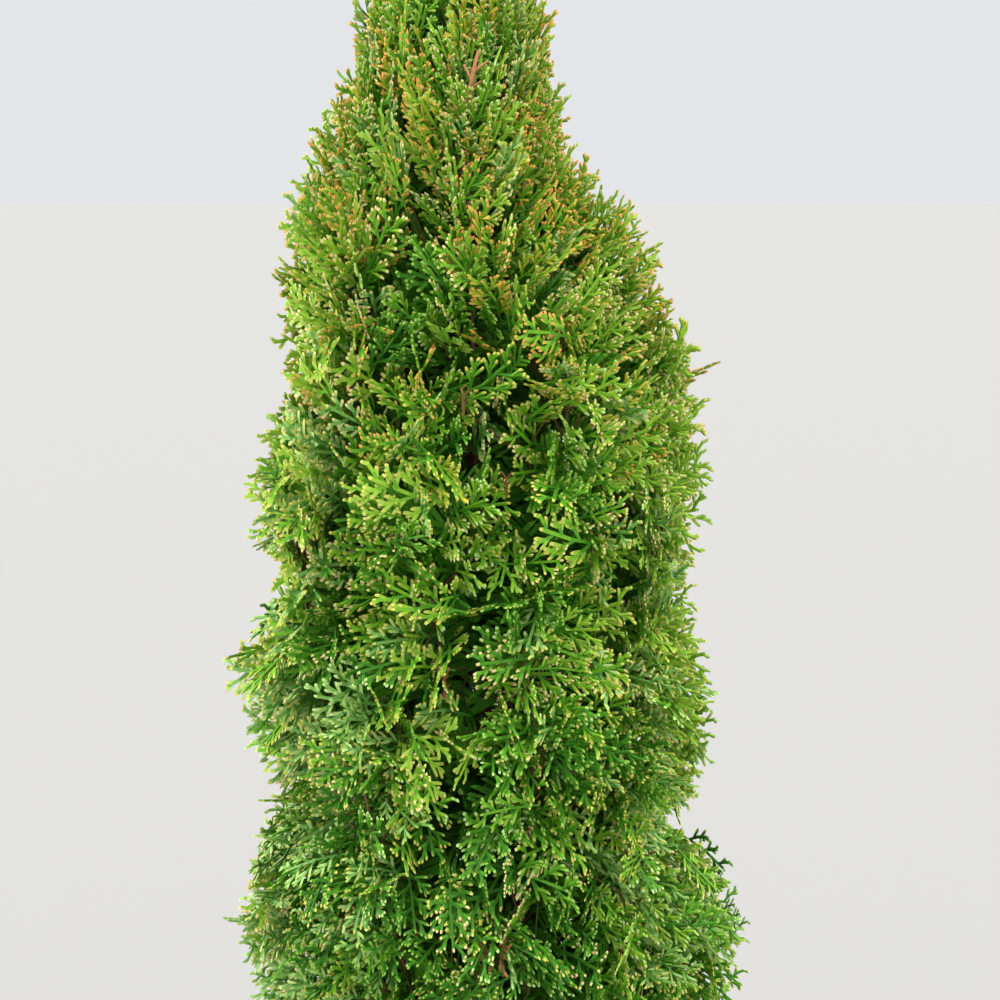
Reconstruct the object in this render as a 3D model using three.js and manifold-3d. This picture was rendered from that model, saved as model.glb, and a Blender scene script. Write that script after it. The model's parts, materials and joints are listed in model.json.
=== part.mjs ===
// A potted columnar thuja, about 1.5 m tall, in millimetres with +Z up.
// The origin is the middle of the pot's flat underside, and -Y is the plant's front.
// A spiral of boughs leaves one trunk. Each bough carries a plume: a leafy mass with a dense core that
// flat, toothed sprays stand out of. A last plume stands on the trunk's tip.
import * as THREE from "three";
import { mergeVertices } from "three/addons/utils/BufferGeometryUtils.js";
import Module from "manifold-3d";

const wasm = await Module();
wasm.setup();

// Driving dimensions: the pot and what fills it
const POT_HEIGHT = 290;
const POT_FOOT_RADIUS = 138;
const POT_MOUTH_RADIUS = 168;
const POT_WALL = 3;
const POT_SIDES = 36;
const RIM_DEPTH = 28;
const RIM_STEP = 5;
const FOOT_CHAMFER = 5;
const DRAIN_SLOTS = 6;
const DRAIN_SLOT = new THREE.Vector3(16, 26, 14);
const MIX_DROP = 25;
const MIX_FALL = 8;
const MIX_FLAT_RADIUS = 70;

// Driving dimensions: the trunk
const SEAT_GAP = 0.3;
const GROUND = POT_HEIGHT - MIX_DROP;
const TRUNK_TIP = 1290;
const TRUNK_RADIUS = 15;
const TRUNK_TIP_RADIUS = 2.6;
const TRUNK_SIDES = 12;
const TRUNK_RINGS = 12;
const TRUNK_CROWD = 2;
const FLARE = 0.75;
const FLARE_HEIGHT = 16;
const FLARE_LOBES = 4;
const LEAN = new THREE.Vector2(-30, 6);
const BOW = 5;

// Driving dimensions: the crown's outline
const CROWN_FOOT = 312;
const CROWN_TOP = 1515;
const CROWN_RADIUS = 216;
const WAIST = 680;
const TOP_TAPER = 2.2;
const TOP_ROUND = 0.85;
const FOOT_TUCK = 0.24;
const SHOULDER = 1228;
const NOTCH_TOP = 1390;
const NOTCH_DEPTH = 0.26;
const OUTLINE_SLACK = 8;
// Where the crown swells or draws in on its sides: azimuth in degrees, height, half height and how far
const SWELLS = [
  [180, 1325, 50, -20],
  [180, 1200, 30, 8],
  [180, 1048, 55, -28],
  [180, 865, 42, -33],
  [180, 785, 30, 13],
  [180, 668, 42, -28],
  [180, 530, 60, 18],
  [0, 1300, 55, -11],
  [0, 1222, 16, -27],
  [0, 1165, 30, 12],
  [0, 1045, 75, 27],
  [0, 830, 70, -19],
  [0, 705, 30, -14],
  [0, 625, 42, -44],
  [0, 545, 40, 26],
  [0, 470, 40, 23],
];

// Driving dimensions: boughs and plumes
const PLUMES = 27;
const KNEE_REACH = 0.78;
const KNEE_RISE = 0.22;
const BELLY_REACH = 1.16;
const TIP_REACH = 0.88;
const GOLDEN_ANGLE = Math.PI * (3 - Math.sqrt(5));
const FIRST_AZIMUTH = THREE.MathUtils.degToRad(352.5);
const LOWEST_TOP = 470;
const TOP_STEP = 36.4;
const PLUME_LENGTH = 350;
const PLUME_GIRTH = 100;
const LEAST_GIRTH = 0.7;
const LEADER_GIRTH = 62;
const LEADER_SPRAY = 30;
const BOUGH_RISE = 62;
const LOWEST_ROOT = 292;
const BOUGH_SHARE = 0.3;
const BOUGH_RADIUS = 5.2;
const BOUGH_TIP_RADIUS = 2.6;
const BOUGH_SIDES = 5;
const BOUGH_RINGS = 4;
const STEM_SHARE = 0.35;
const STEM_SIDES = 3;
const CORE_DEPTH = 38;
const CORE_LEAST = 4;
const CORE_STEP = 3;
const CORE_SIDES = 8;
const CORE_RINGS = 6;

// Driving dimensions: the sprays that stand for the small twigs and their scale leaves
const SPRAYS = 10;
const SPRAY_TRIES = 120;
const SPRAY_LENGTH = 98;
const SPRAY_SHRINK = 0.8;
const SPRAY_SHRINKS = 3;
const SPRAY_SUNK = 20;
const TIP_SPRAY_FOOT = 0.84;
const SPRAY_THICKNESS = 5;
const OWN_SPACE_GAP = 4;
const LIMB_CLEARANCE = 3;
const FOOT_LIFT = THREE.MathUtils.degToRad(8);
const TOP_LIFT = THREE.MathUtils.degToRad(74);
const LIFT_SPREAD = THREE.MathUtils.degToRad(16);
const ROLL_SPREAD = THREE.MathUtils.degToRad(90);
const ROUND_SPREAD = THREE.MathUtils.degToRad(125);
// Half of a spray's outline as shares of its length, from the stalk to the last notch before the tip
const SPRAY_HALF = [
  [0, 0.06],
  [0.58, 0.34],
  [0.66, 0.14],
];
const SPRAY_MIDDLE = 0.4;

const SEED = 20417;
const UP = new THREE.Vector3(0, 0, 1);

const FOLIAGE = new THREE.MeshStandardMaterial({ color: 0x4c7d22, roughness: 0.62, metalness: 0 });
const BARK = new THREE.MeshStandardMaterial({ color: 0x6b4330, roughness: 0.85, metalness: 0 });
const PLASTIC = new THREE.MeshStandardMaterial({ color: 0x1d1e1f, roughness: 0.55, metalness: 0 });
const POTTING_MIX = new THREE.MeshStandardMaterial({ color: 0x3a281c, roughness: 0.95, metalness: 0 });

// A repeatable number from 0 to 1 for a set of whole-number keys.
function chance(...keys) {
  let hash = SEED;
  for (const key of keys) {
    hash = Math.imul(hash ^ (key + 0x9e3779b9), 0x85ebca6b);
    hash ^= hash >>> 13;
    hash = Math.imul(hash, 0xc2b2ae35);
    hash ^= hash >>> 16;
  }
  return (hash >>> 0) / 2 ** 32;
}

// A repeatable number from -1 to 1.
const swing = (...keys) => 2 * chance(...keys) - 1;

// Solids for joining and cutting, and the way back to a geometry.
function solidOf(geometry) {
  const bare = geometry.clone();
  bare.deleteAttribute("normal");
  bare.deleteAttribute("uv");
  const merged = mergeVertices(bare, 1e-3);
  return new wasm.Manifold(
    new wasm.Mesh({
      numProp: 3,
      vertProperties: merged.attributes.position.array,
      triVerts: new Uint32Array(merged.index.array),
    }),
  );
}

function bareGeometry(solid) {
  const mesh = solid.getMesh();
  return new THREE.BufferGeometry()
    .setAttribute("position", new THREE.BufferAttribute(mesh.vertProperties, 3))
    .setIndex(new THREE.BufferAttribute(mesh.triVerts, 1));
}

const largest = (solid) =>
  solid.decompose().reduce((most, body) => (body.volume() > most.volume() ? body : most));

// Only the largest body is kept: loose scraps go, and the skin of a sealed hollow goes, which fills it.
// Merging vertices that nearly meet can part a sliver, so the largest is taken again after it.
const geometryOf = (solid) => bareGeometry(largest(solidOf(bareGeometry(largest(solid)))));

function turned(profile, sides) {
  const points = profile.map(([radius, height]) => new THREE.Vector2(radius, height));
  return new THREE.LatheGeometry(points, sides).rotateX(Math.PI / 2);
}

// The pot's wall slopes evenly, so its outer radius follows from the height.
const potRadius = (z) => THREE.MathUtils.lerp(POT_FOOT_RADIUS, POT_MOUTH_RADIUS, z / POT_HEIGHT);

function pot() {
  const rimFoot = POT_HEIGHT - RIM_DEPTH;
  const shell = solidOf(
    turned(
      [
        [0, 0],
        [POT_FOOT_RADIUS - FOOT_CHAMFER, 0],
        [potRadius(FOOT_CHAMFER), FOOT_CHAMFER],
        [potRadius(rimFoot), rimFoot],
        [potRadius(rimFoot) + RIM_STEP, rimFoot + RIM_STEP / 2],
        [potRadius(POT_HEIGHT) + RIM_STEP, POT_HEIGHT - 2],
        [potRadius(POT_HEIGHT) + RIM_STEP - 2, POT_HEIGHT],
        [potRadius(POT_HEIGHT) - POT_WALL, POT_HEIGHT],
        [potRadius(POT_WALL) - POT_WALL, POT_WALL],
        [0, POT_WALL],
      ],
      POT_SIDES,
    ),
  );
  const slots = Array.from({ length: DRAIN_SLOTS }, (_, i) =>
    solidOf(
      new THREE.BoxGeometry(DRAIN_SLOT.x, DRAIN_SLOT.y, DRAIN_SLOT.z)
        .translate(POT_FOOT_RADIUS, 0, FOOT_CHAMFER + POT_WALL + DRAIN_SLOT.z / 2)
        .rotateZ(((i + 0.5) * 2 * Math.PI) / DRAIN_SLOTS),
    ),
  );
  return geometryOf(slots.reduce((cut, slot) => cut.subtract(slot), shell));
}

function pottingMix() {
  const floor = POT_WALL + SEAT_GAP;
  const edge = GROUND - MIX_FALL;
  const inside = (z) => potRadius(z) - POT_WALL - 2 * SEAT_GAP;
  return turned(
    [
      [0, floor],
      [inside(floor), floor],
      [inside(edge), edge],
      [MIX_FLAT_RADIUS, GROUND],
      [0, GROUND],
    ],
    POT_SIDES,
  );
}

// The crown and the trunk share one middle line, which leans and bows a little.
function centre(z) {
  const rise = (z - GROUND) / (CROWN_TOP - GROUND);
  const bow = BOW * Math.sin(2 * Math.PI * rise);
  return new THREE.Vector3(LEAN.x * rise ** 1.5 + bow, LEAN.y * rise + bow, z);
}

// A point at that radius, azimuth and height in the crown.
function crownPoint(radius, azimuth, z) {
  const point = centre(z);
  point.x += radius * Math.cos(azimuth);
  point.y += radius * Math.sin(azimuth);
  return point;
}

// How far the crown's sides swell or draw in at that height and azimuth.
const swellAt = (z, azimuth) =>
  SWELLS.reduce((sum, [side, height, half, swell]) => {
    const facing = Math.max(0, Math.cos(azimuth - THREE.MathUtils.degToRad(side))) ** 1.5;
    return sum + swell * facing * Math.exp(-(((z - height) / half) ** 2));
  }, 0);

// The crown's radius, which a notch over the shoulder makes smaller on the +X side.
function crownRadius(z, azimuth) {
  if (z < WAIST) {
    const drop = (WAIST - z) / (WAIST - CROWN_FOOT);
    return CROWN_RADIUS * (1 - FOOT_TUCK * drop ** 3) + swellAt(z, azimuth);
  }
  const rise = Math.min(1, (z - WAIST) / (CROWN_TOP - WAIST));
  const left = z > SHOULDER ? Math.max(0, (NOTCH_TOP - z) / (NOTCH_TOP - SHOULDER)) : 0;
  const notch = NOTCH_DEPTH * left * Math.max(0, Math.cos(azimuth));
  const taper = (1 - rise ** TOP_TAPER) ** TOP_ROUND;
  return CROWN_RADIUS * (1 - notch) * taper + swellAt(z, azimuth);
}

function trunkRadius(z) {
  const rise = THREE.MathUtils.clamp((z - GROUND) / (TRUNK_TIP - GROUND), 0, 1);
  return THREE.MathUtils.lerp(TRUNK_RADIUS, TRUNK_TIP_RADIUS, rise ** 0.8);
}

// A closed round limb along a line, its radius given by a function of the share gone along it.
// Its rings crowd towards its foot where crowd is over 1.
function limbGeometry(line, radiusAt, { sides, rings, side, from = 0, to = 1, crowd = 1 }) {
  const geometry = new THREE.CylinderGeometry(1, 1, 1, sides, rings);
  const position = geometry.attributes.position;
  for (let i = 0; i < position.count; i++) {
    const gone = THREE.MathUtils.clamp(position.getY(i) + 0.5, 0, 1) ** crowd;
    const share = THREE.MathUtils.lerp(from, to, gone);
    const { middle, across, over } = sectionOf(line, share, side);
    const angle = Math.atan2(position.getZ(i), position.getX(i));
    const wide = Math.hypot(position.getX(i), position.getZ(i)) > 0.5 ? radiusAt(share, angle) : 0;
    middle.addScaledVector(across, wide * Math.cos(angle));
    middle.addScaledVector(over, wide * Math.sin(angle));
    position.setXYZ(i, middle.x, middle.y, middle.z);
  }
  return geometry;
}

// A line's middle and its two directions across, the first as near as can be to the side given.
function sectionOf(line, share, side) {
  const middle = line.getPoint(share);
  const along = line.getTangent(share);
  const over = new THREE.Vector3().crossVectors(side, along).normalize();
  const across = new THREE.Vector3().crossVectors(along, over);
  return { middle, across, over, along };
}

// The trunk's line is a curve of its own, so that limbs and trunk are made by one function.
class TrunkLine extends THREE.Curve {
  getPoint(share) {
    return centre(THREE.MathUtils.lerp(GROUND + SEAT_GAP, TRUNK_TIP, share));
  }
  getTangent() {
    return UP.clone();
  }
}

function trunk(growth = 0) {
  const radiusAt = (share, angle) => {
    const z = THREE.MathUtils.lerp(GROUND, TRUNK_TIP, share);
    const flare = FLARE * Math.exp(-(z - GROUND) / FLARE_HEIGHT);
    const lobes = 1 + 0.22 * Math.cos(FLARE_LOBES * angle + 0.6);
    return trunkRadius(z) * (1 + flare * lobes) + growth;
  };
  const side = new THREE.Vector3(0, 1, 0);
  const shape = { sides: TRUNK_SIDES, rings: TRUNK_RINGS, side, crowd: TRUNK_CROWD };
  return limbGeometry(new TrunkLine(), radiusAt, shape);
}

// One plume's line, from the trunk's middle out along the bough and up to the plume's tip.
function plumeOf(index) {
  const azimuth = FIRST_AZIMUTH + index * GOLDEN_ANGLE;
  const top = LOWEST_TOP + TOP_STEP * index + 6 * swing(index, 1);
  const foot = Math.max(CROWN_FOOT, top - PLUME_LENGTH);
  const root = Math.max(LOWEST_ROOT + 9 * (index % 3), foot - BOUGH_RISE);
  const middle = (foot + top) / 2;
  const size = Math.max(LEAST_GIRTH, crownRadius(top, azimuth) / CROWN_RADIUS);
  const girth = PLUME_GIRTH * size * (1 + 0.08 * swing(index, 2));
  const reach = crownRadius(middle, azimuth) - girth;
  const line = new THREE.CubicBezierCurve3(
    centre(root),
    crownPoint(KNEE_REACH * reach, azimuth, root + KNEE_RISE * (middle - root)),
    crownPoint(BELLY_REACH * reach, azimuth, middle),
    crownPoint(TIP_REACH * crownRadius(top, azimuth), azimuth, top - 8),
  );
  return {
    index,
    line,
    girth,
    begins: BOUGH_SHARE,
    side: new THREE.Vector3(-Math.sin(azimuth), Math.cos(azimuth), 0),
    name: String(index + 1).padStart(2, "0"),
  };
}

// The last plume stands on the trunk's tip.
function leader() {
  const line = new THREE.LineCurve3(centre(TRUNK_TIP + SEAT_GAP), centre(CROWN_TOP - LEADER_SPRAY));
  return {
    index: PLUMES,
    line,
    girth: LEADER_GIRTH,
    begins: 0,
    side: new THREE.Vector3(0, 1, 0),
    name: "top",
  };
}

const plumes = [...Array.from({ length: PLUMES }, (_, i) => plumeOf(i)), leader()];

// Short straight pieces of each plume's line, for measuring how near a point is to it.
const PIECES = 12;
for (const plume of plumes) {
  const points = plume.line.getPoints(PIECES);
  plume.pieces = points.slice(1).map((end, i) => new THREE.Line3(points[i], end));
}
const nearest = new THREE.Vector3();
const distanceToPiece = (piece, point) => piece.closestPointToPoint(point, true, nearest).distanceTo(point);
const distanceTo = (plume, point) => Math.min(...plume.pieces.map((piece) => distanceToPiece(piece, point)));

// How far inside the crown's outline a point lies.
function depthOf(point) {
  const middle = centre(point.z);
  const radius = Math.hypot(point.x - middle.x, point.y - middle.y);
  return crownRadius(point.z, Math.atan2(point.y - middle.y, point.x - middle.x)) - radius;
}

// A plume's own space is nearer to its line than to any other's, clear of the trunk and above the pot.
function inOwnSpace(plume, point, gap) {
  if (point.z < CROWN_FOOT - OUTLINE_SLACK || point.z > CROWN_TOP) return false;
  const middle = centre(point.z);
  const fromTrunk = Math.hypot(point.x - middle.x, point.y - middle.y);
  const byTrunk = fromTrunk < trunkRadius(point.z) + LIMB_CLEARANCE;
  if (byTrunk && point.z < TRUNK_TIP + LIMB_CLEARANCE) return false;
  const own = distanceTo(plume, point);
  return plumes.every((other) => other === plume || distanceTo(other, point) - own > gap);
}

// A plume is blunt at its foot and narrow at its tip. The share runs from foot to tip.
const flame = (share) => Math.sin(Math.PI * share ** 0.85) ** 0.55;

// The core grows outwards until it meets the edge of the plume's space, or nears the crown's outline.
function coreRadius(plume, share, outward, middle) {
  const depth = Math.min(CORE_DEPTH, 0.45 * crownRadius(middle.z, 0));
  const most = plume.girth * flame(share);
  let radius = CORE_LEAST;
  while (radius < most) {
    const point = middle.clone().addScaledVector(outward, radius + CORE_STEP);
    if (depthOf(point) < depth || !inOwnSpace(plume, point, OWN_SPACE_GAP)) break;
    radius += CORE_STEP;
  }
  return radius;
}

// The dense inside of a plume: a sphere's rings drawn out along the plume's line.
function core(plume) {
  const geometry = new THREE.SphereGeometry(1, CORE_SIDES, CORE_RINGS);
  const position = geometry.attributes.position;
  const first = plume.begins + 0.05;
  for (let i = 0; i < position.count; i++) {
    const share = THREE.MathUtils.clamp((position.getY(i) + 1) / 2, 0, 1);
    const lineShare = THREE.MathUtils.lerp(first, 0.97, share);
    const { middle, across, over } = sectionOf(plume.line, lineShare, plume.side);
    if (share > 1e-4 && share < 1 - 1e-4) {
      const angle = Math.atan2(position.getZ(i), position.getX(i));
      const outward = across.clone().multiplyScalar(Math.cos(angle)).addScaledVector(over, Math.sin(angle));
      middle.addScaledVector(outward, coreRadius(plume, share, outward, middle));
    }
    position.setXYZ(i, middle.x, middle.y, middle.z);
  }
  return geometry;
}

// The corners of a flat spray: its two middles, then its outline from one side of the stalk to the other.
function sprayCorners(foot, along, across, length) {
  const through = new THREE.Vector3().crossVectors(along, across);
  const place = (forward, aside, thick) =>
    foot
      .clone()
      .addScaledVector(along, forward * length)
      .addScaledVector(across, aside * length)
      .addScaledVector(through, thick);
  return [
    place(SPRAY_MIDDLE, 0, SPRAY_THICKNESS / 2),
    place(SPRAY_MIDDLE, 0, -SPRAY_THICKNESS / 2),
    ...SPRAY_HALF.map(([forward, aside]) => place(forward, -aside, 0)),
    place(1, 0, 0),
    ...SPRAY_HALF.toReversed().map(([forward, aside]) => place(forward, aside, 0)),
  ];
}

function sprayGeometry(corners) {
  const rim = corners.length - 2;
  const faces = [];
  for (let i = 0; i < rim; i++) {
    const here = 2 + i;
    const next = 2 + ((i + 1) % rim);
    faces.push(0, here, next, 1, next, here);
  }
  return new THREE.BufferGeometry().setFromPoints(corners).setIndex(faces);
}

// Whether a spray keeps to its plume's space, inside the crown's outline and off the bough.
function sprayFits(plume, corners) {
  return corners.slice(2).every((corner, i) => {
    const byStalk = i === 0 || i === corners.length - 3;
    return byStalk || (depthOf(corner) > -OUTLINE_SLACK && inOwnSpace(plume, corner, OWN_SPACE_GAP));
  });
}

// One spray of a plume: number 0 goes on from the plume's tip, and the rest stand out from the core's skin.
function sprayAt(plume, number) {
  const step = (number * 0.6180339887 + chance(plume.index, 3)) % 1;
  const share = number ? 0.05 + 0.95 * step : TIP_SPRAY_FOOT;
  const lineShare = THREE.MathUtils.lerp(plume.begins + 0.05, 0.97, share);
  const { middle, across, over, along } = sectionOf(plume.line, lineShare, plume.side);
  const turn = (number * 0.7548776662 + chance(plume.index, 4)) % 1;
  const angle = Math.PI / 2 + ROUND_SPREAD * (2 * turn - 1) * (plume.begins ? 1 : 1.44);
  const outward = across.clone().multiplyScalar(Math.cos(angle)).addScaledVector(over, Math.sin(angle));
  const height = (middle.z - CROWN_FOOT) / (CROWN_TOP - CROWN_FOOT);
  const lift =
    THREE.MathUtils.lerp(FOOT_LIFT, TOP_LIFT, Math.min(1, height + 0.35 * share ** 3)) +
    LIFT_SPREAD * swing(plume.index, number, 5);
  const level = outward.clone().setZ(0).normalize();
  const heading = number ? level.multiplyScalar(Math.cos(lift)).addScaledVector(UP, Math.sin(lift)) : along;
  const flat = new THREE.Vector3().crossVectors(heading, number ? UP : over).normalize();
  const upright = new THREE.Vector3().crossVectors(flat, heading);
  const roll = ROLL_SPREAD * swing(plume.index, number, 6);
  const spread = upright.multiplyScalar(Math.cos(roll)).addScaledVector(flat, Math.sin(roll));
  const skin = number ? coreRadius(plume, share, outward, middle) : 0;
  const foot = middle.addScaledVector(outward, Math.max(0.35 * skin, skin - SPRAY_SUNK));
  const size = number ? THREE.MathUtils.lerp(0.75, 1.05, chance(plume.index, number, 7)) : 0.9;
  return { foot, heading, spread, length: SPRAY_LENGTH * size * Math.sqrt(plume.girth / PLUME_GIRTH) };
}

// Sprays stand all round the core's outer side, and none crosses another.
// One that doesn't fit is tried smaller.
function spraysOf(plume) {
  const kept = [];
  for (let number = 0; number < SPRAY_TRIES && kept.length < SPRAYS; number++) {
    const { foot, heading, spread, length } = sprayAt(plume, number);
    for (let shrinks = 0; shrinks < SPRAY_SHRINKS; shrinks++) {
      const corners = sprayCorners(foot, heading, spread, length * SPRAY_SHRINK ** shrinks);
      if (!sprayFits(plume, corners)) continue;
      const spray = solidOf(sprayGeometry(corners));
      if (kept.every((other) => other.intersect(spray).volume() < 1e-3)) kept.push(spray);
      break;
    }
  }
  return kept;
}

// The stem carries on from the bough's tip into the core.
function stem(plume) {
  const last = plume.begins + STEM_SHARE;
  const gap = plume.begins ? SEAT_GAP / plume.line.getLength() : 0;
  const radiusAt = (share) => BOUGH_TIP_RADIUS * (1 - 0.5 * ((share - plume.begins) / STEM_SHARE));
  const ends = { from: plume.begins + gap, to: last };
  return limbGeometry(plume.line, radiusAt, { sides: STEM_SIDES, rings: 2, side: plume.side, ...ends });
}

// The trunk grown by the gap that the boughs and plumes are cut clear by.
const trunkAndGap = solidOf(trunk(SEAT_GAP));

function foliage(plume) {
  const inside = solidOf(core(plume)).add(solidOf(stem(plume)));
  const whole = spraysOf(plume).reduce((joined, spray) => joined.add(spray), inside);
  return geometryOf(plume.begins ? whole.subtract(trunkAndGap) : whole);
}

// A bough is one tapering limb.
function bough(plume) {
  const radiusAt = (share) => THREE.MathUtils.lerp(BOUGH_RADIUS, BOUGH_TIP_RADIUS, share / plume.begins);
  const shape = { sides: BOUGH_SIDES, rings: BOUGH_RINGS, side: plume.side, to: plume.begins };
  const limb = limbGeometry(plume.line, radiusAt, shape);
  return geometryOf(solidOf(limb).subtract(trunkAndGap));
}

const thuja = new THREE.Group();

function add(name, geometry, material) {
  const mesh = new THREE.Mesh(geometry, material);
  mesh.name = name;
  thuja.add(mesh);
}

add("pot", pot(), PLASTIC);
add("potting_mix", pottingMix(), POTTING_MIX);
add("trunk", trunk(), BARK);
for (const plume of plumes) {
  if (plume.begins) add(`bough_${plume.name}`, bough(plume), BARK);
  add(`foliage_${plume.name}`, foliage(plume), FOLIAGE);
}

export default thuja;
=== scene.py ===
"""A potted columnar thuja: pot, potting mix, trunk, boughs, twigs and thousands of flat sprays.

The crown grows by the same rule as its solids. Every plume's line, girth and own space are worked
out again here from the same named sizes, and then carried on to finer twigs and sprays.
Lengths are in metres. The origin is the middle of the pot's flat underside, and -Y is the front.
"""

import json
import math
import random
from itertools import product

import bpy
import numpy as np
from mathutils import Matrix, Vector, noise

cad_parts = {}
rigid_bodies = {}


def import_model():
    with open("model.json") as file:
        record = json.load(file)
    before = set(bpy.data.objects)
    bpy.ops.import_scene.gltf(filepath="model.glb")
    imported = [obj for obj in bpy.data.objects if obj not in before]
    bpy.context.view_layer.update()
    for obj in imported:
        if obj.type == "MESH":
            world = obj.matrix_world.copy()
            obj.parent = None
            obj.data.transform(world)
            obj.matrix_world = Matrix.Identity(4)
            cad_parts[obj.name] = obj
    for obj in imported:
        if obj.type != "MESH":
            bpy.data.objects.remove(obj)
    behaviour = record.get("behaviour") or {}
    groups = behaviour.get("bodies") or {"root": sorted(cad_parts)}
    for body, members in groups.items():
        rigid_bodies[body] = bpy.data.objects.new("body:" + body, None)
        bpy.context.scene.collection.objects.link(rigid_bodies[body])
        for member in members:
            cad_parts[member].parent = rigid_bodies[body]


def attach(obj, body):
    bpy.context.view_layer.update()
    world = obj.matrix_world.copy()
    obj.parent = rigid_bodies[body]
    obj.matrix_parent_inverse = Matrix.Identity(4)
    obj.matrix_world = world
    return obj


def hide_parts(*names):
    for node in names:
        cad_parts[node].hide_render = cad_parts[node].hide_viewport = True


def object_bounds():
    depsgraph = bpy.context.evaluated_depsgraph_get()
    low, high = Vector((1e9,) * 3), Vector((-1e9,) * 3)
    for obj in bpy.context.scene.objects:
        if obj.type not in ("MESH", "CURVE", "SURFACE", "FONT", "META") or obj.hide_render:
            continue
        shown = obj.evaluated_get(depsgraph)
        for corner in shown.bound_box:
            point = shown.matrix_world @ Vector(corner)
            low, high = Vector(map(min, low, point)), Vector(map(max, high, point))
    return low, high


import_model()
cad_low, cad_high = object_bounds()

MM = 0.001
TAU = 2 * math.pi
GOLDEN_ANGLE = math.pi * (3 - math.sqrt(5))
SEED = 20417
TIER_SEED = SEED + 20
SHADE_SEED = SEED + 40
DEAD_TWIG_SEED = SEED + 60
PLUME_SHADE_SEED = SEED + 61
CHIP_SEED = SEED + 300

# Bare twigs at the front: where their feet are along X and up, their length, lean and girth
DEAD_TWIGS = (
    (-0.016, 1.284, 0.050, 0.22, 0.0027),
    (-0.020, 1.026, 0.028, 0.10, 0.0014),
    (0.024, 0.958, 0.024, -0.15, 0.0014),
    (-0.040, 0.786, 0.024, 0.08, 0.0018),
)
# Where a bare twig forks, and to which side
FORKS = ((2, 1), (3, -1), (4, 1))
DEAD_TWIG_STOPS = 7
# Dark hollows in the front of the crown: X, Z, half width and half height
HOLLOWS = (
    (-0.043, 1.214, 0.013, 0.034),
    (-0.016, 1.092, 0.015, 0.038),
    (-0.030, 1.038, 0.014, 0.022),
    (0.016, 1.004, 0.016, 0.034),
    (0.002, 0.904, 0.022, 0.018),
    (-0.037, 0.838, 0.014, 0.020),
    (0.028, 0.812, 0.018, 0.020),
    (-0.112, 0.684, 0.018, 0.014),
    (0.038, 0.672, 0.020, 0.020),
    (-0.034, 0.648, 0.020, 0.018),
    (-0.088, 0.528, 0.020, 0.018),
    (0.045, 0.530, 0.020, 0.018),
)
HOLLOW_DEPTH = 0.042
# Painted shade and painted light on the crown's front: where its sprays are darker, or paler below zero:
# X, Z, half width, half height, how much
PAINTED_SHADE_AND_LIGHT_SPOTS = (
    (-0.081, 0.936, 0.036, 0.044, 0.75),
    (-0.098, 0.832, 0.034, 0.044, 0.70),
    (-0.125, 0.640, 0.045, 0.100, 0.50),
    (0.071, 0.936, 0.032, 0.040, 0.75),
    (0.066, 0.748, 0.030, 0.036, 0.45),
    (0.125, 0.866, 0.046, 0.064, -1.00),
    (-0.036, 0.775, 0.030, 0.070, -0.60),
    (0.130, 0.572, 0.050, 0.060, -0.95),
    (-0.144, 1.112, 0.045, 0.080, -0.60),
    (0.071, 1.189, 0.040, 0.060, -0.50),
    (0.122, 1.086, 0.045, 0.050, -0.60),
)
# Where a few sprays have dried up, inside the crown's outline: X, Z and how far around
DRY_SPOTS = ((0.026, 0.562, 0.010), (0.084, 0.552, 0.011), (0.126, 0.552, 0.010))

# Pot and potting mix
POT_HEIGHT = 0.290
POT_FOOT_RADIUS = 0.138
POT_MOUTH_RADIUS = 0.168
POT_WALL = 0.003
UNDERSIDE_RISE = 0.0012
RIM_DEPTH = 0.028
RIM_STEP = 0.005
HOOP_HEIGHTS = (0.212, 0.226)
# A hoop's section: how far each corner stands out of the wall and up from its middle
HOOP_SECTION = ((0, -0.0035), (0.0012, -0.002), (0.0012, 0.002), (0, 0.0035))
DRAIN_SLOTS = 6
DRAIN_SLOT = (0.016, 0.026, 0.014)
DRAIN_HEIGHT = 0.015
BOX_FACES = ((0, 1, 3, 2), (4, 6, 7, 5), (0, 4, 5, 1), (2, 3, 7, 6), (0, 2, 6, 4), (1, 5, 7, 3))
MIX_FALL = 0.008
MIX_FLAT_RADIUS = 0.070
CRUMB_HEIGHT = 0.0028
CHIP_KINDS = 6
CHIP_CORNERS = 7
CHIP_TILT = 0.35
PALE_CHIPS = 0.3

# Trunk
GROUND = 0.265
TRUNK_TIP = 1.290
TRUNK_RADIUS = 0.015
TRUNK_TIP_RADIUS = 0.0026
FLARE = 0.75
FLARE_HEIGHT = 0.016
LEAN = (-0.030, 0.006)
BOW = 0.005

# The crown's outline
CROWN_FOOT = 0.312
CROWN_TOP = 1.515
CROWN_RADIUS = 0.216
WAIST = 0.680
TOP_TAPER = 2.2
TOP_ROUND = 0.85
FOOT_TUCK = 0.24
SHOULDER = 1.228
NOTCH_TOP = 1.390
NOTCH_DEPTH = 0.26
# Where the crown swells or draws in: azimuth, height, half height and how far
SWELLS = (
    (180, 1.325, 0.050, -0.020),
    (180, 1.200, 0.030, 0.008),
    (180, 1.048, 0.055, -0.028),
    (180, 0.865, 0.042, -0.033),
    (180, 0.785, 0.030, 0.013),
    (180, 0.668, 0.042, -0.028),
    (180, 0.530, 0.060, 0.018),
    (0, 1.300, 0.055, -0.011),
    (0, 1.222, 0.016, -0.027),
    (0, 1.165, 0.030, 0.012),
    (0, 1.045, 0.075, 0.027),
    (0, 0.830, 0.070, -0.019),
    (0, 0.705, 0.030, -0.014),
    (0, 0.625, 0.042, -0.044),
    (0, 0.545, 0.040, 0.026),
    (0, 0.470, 0.040, 0.023),
)

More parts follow.
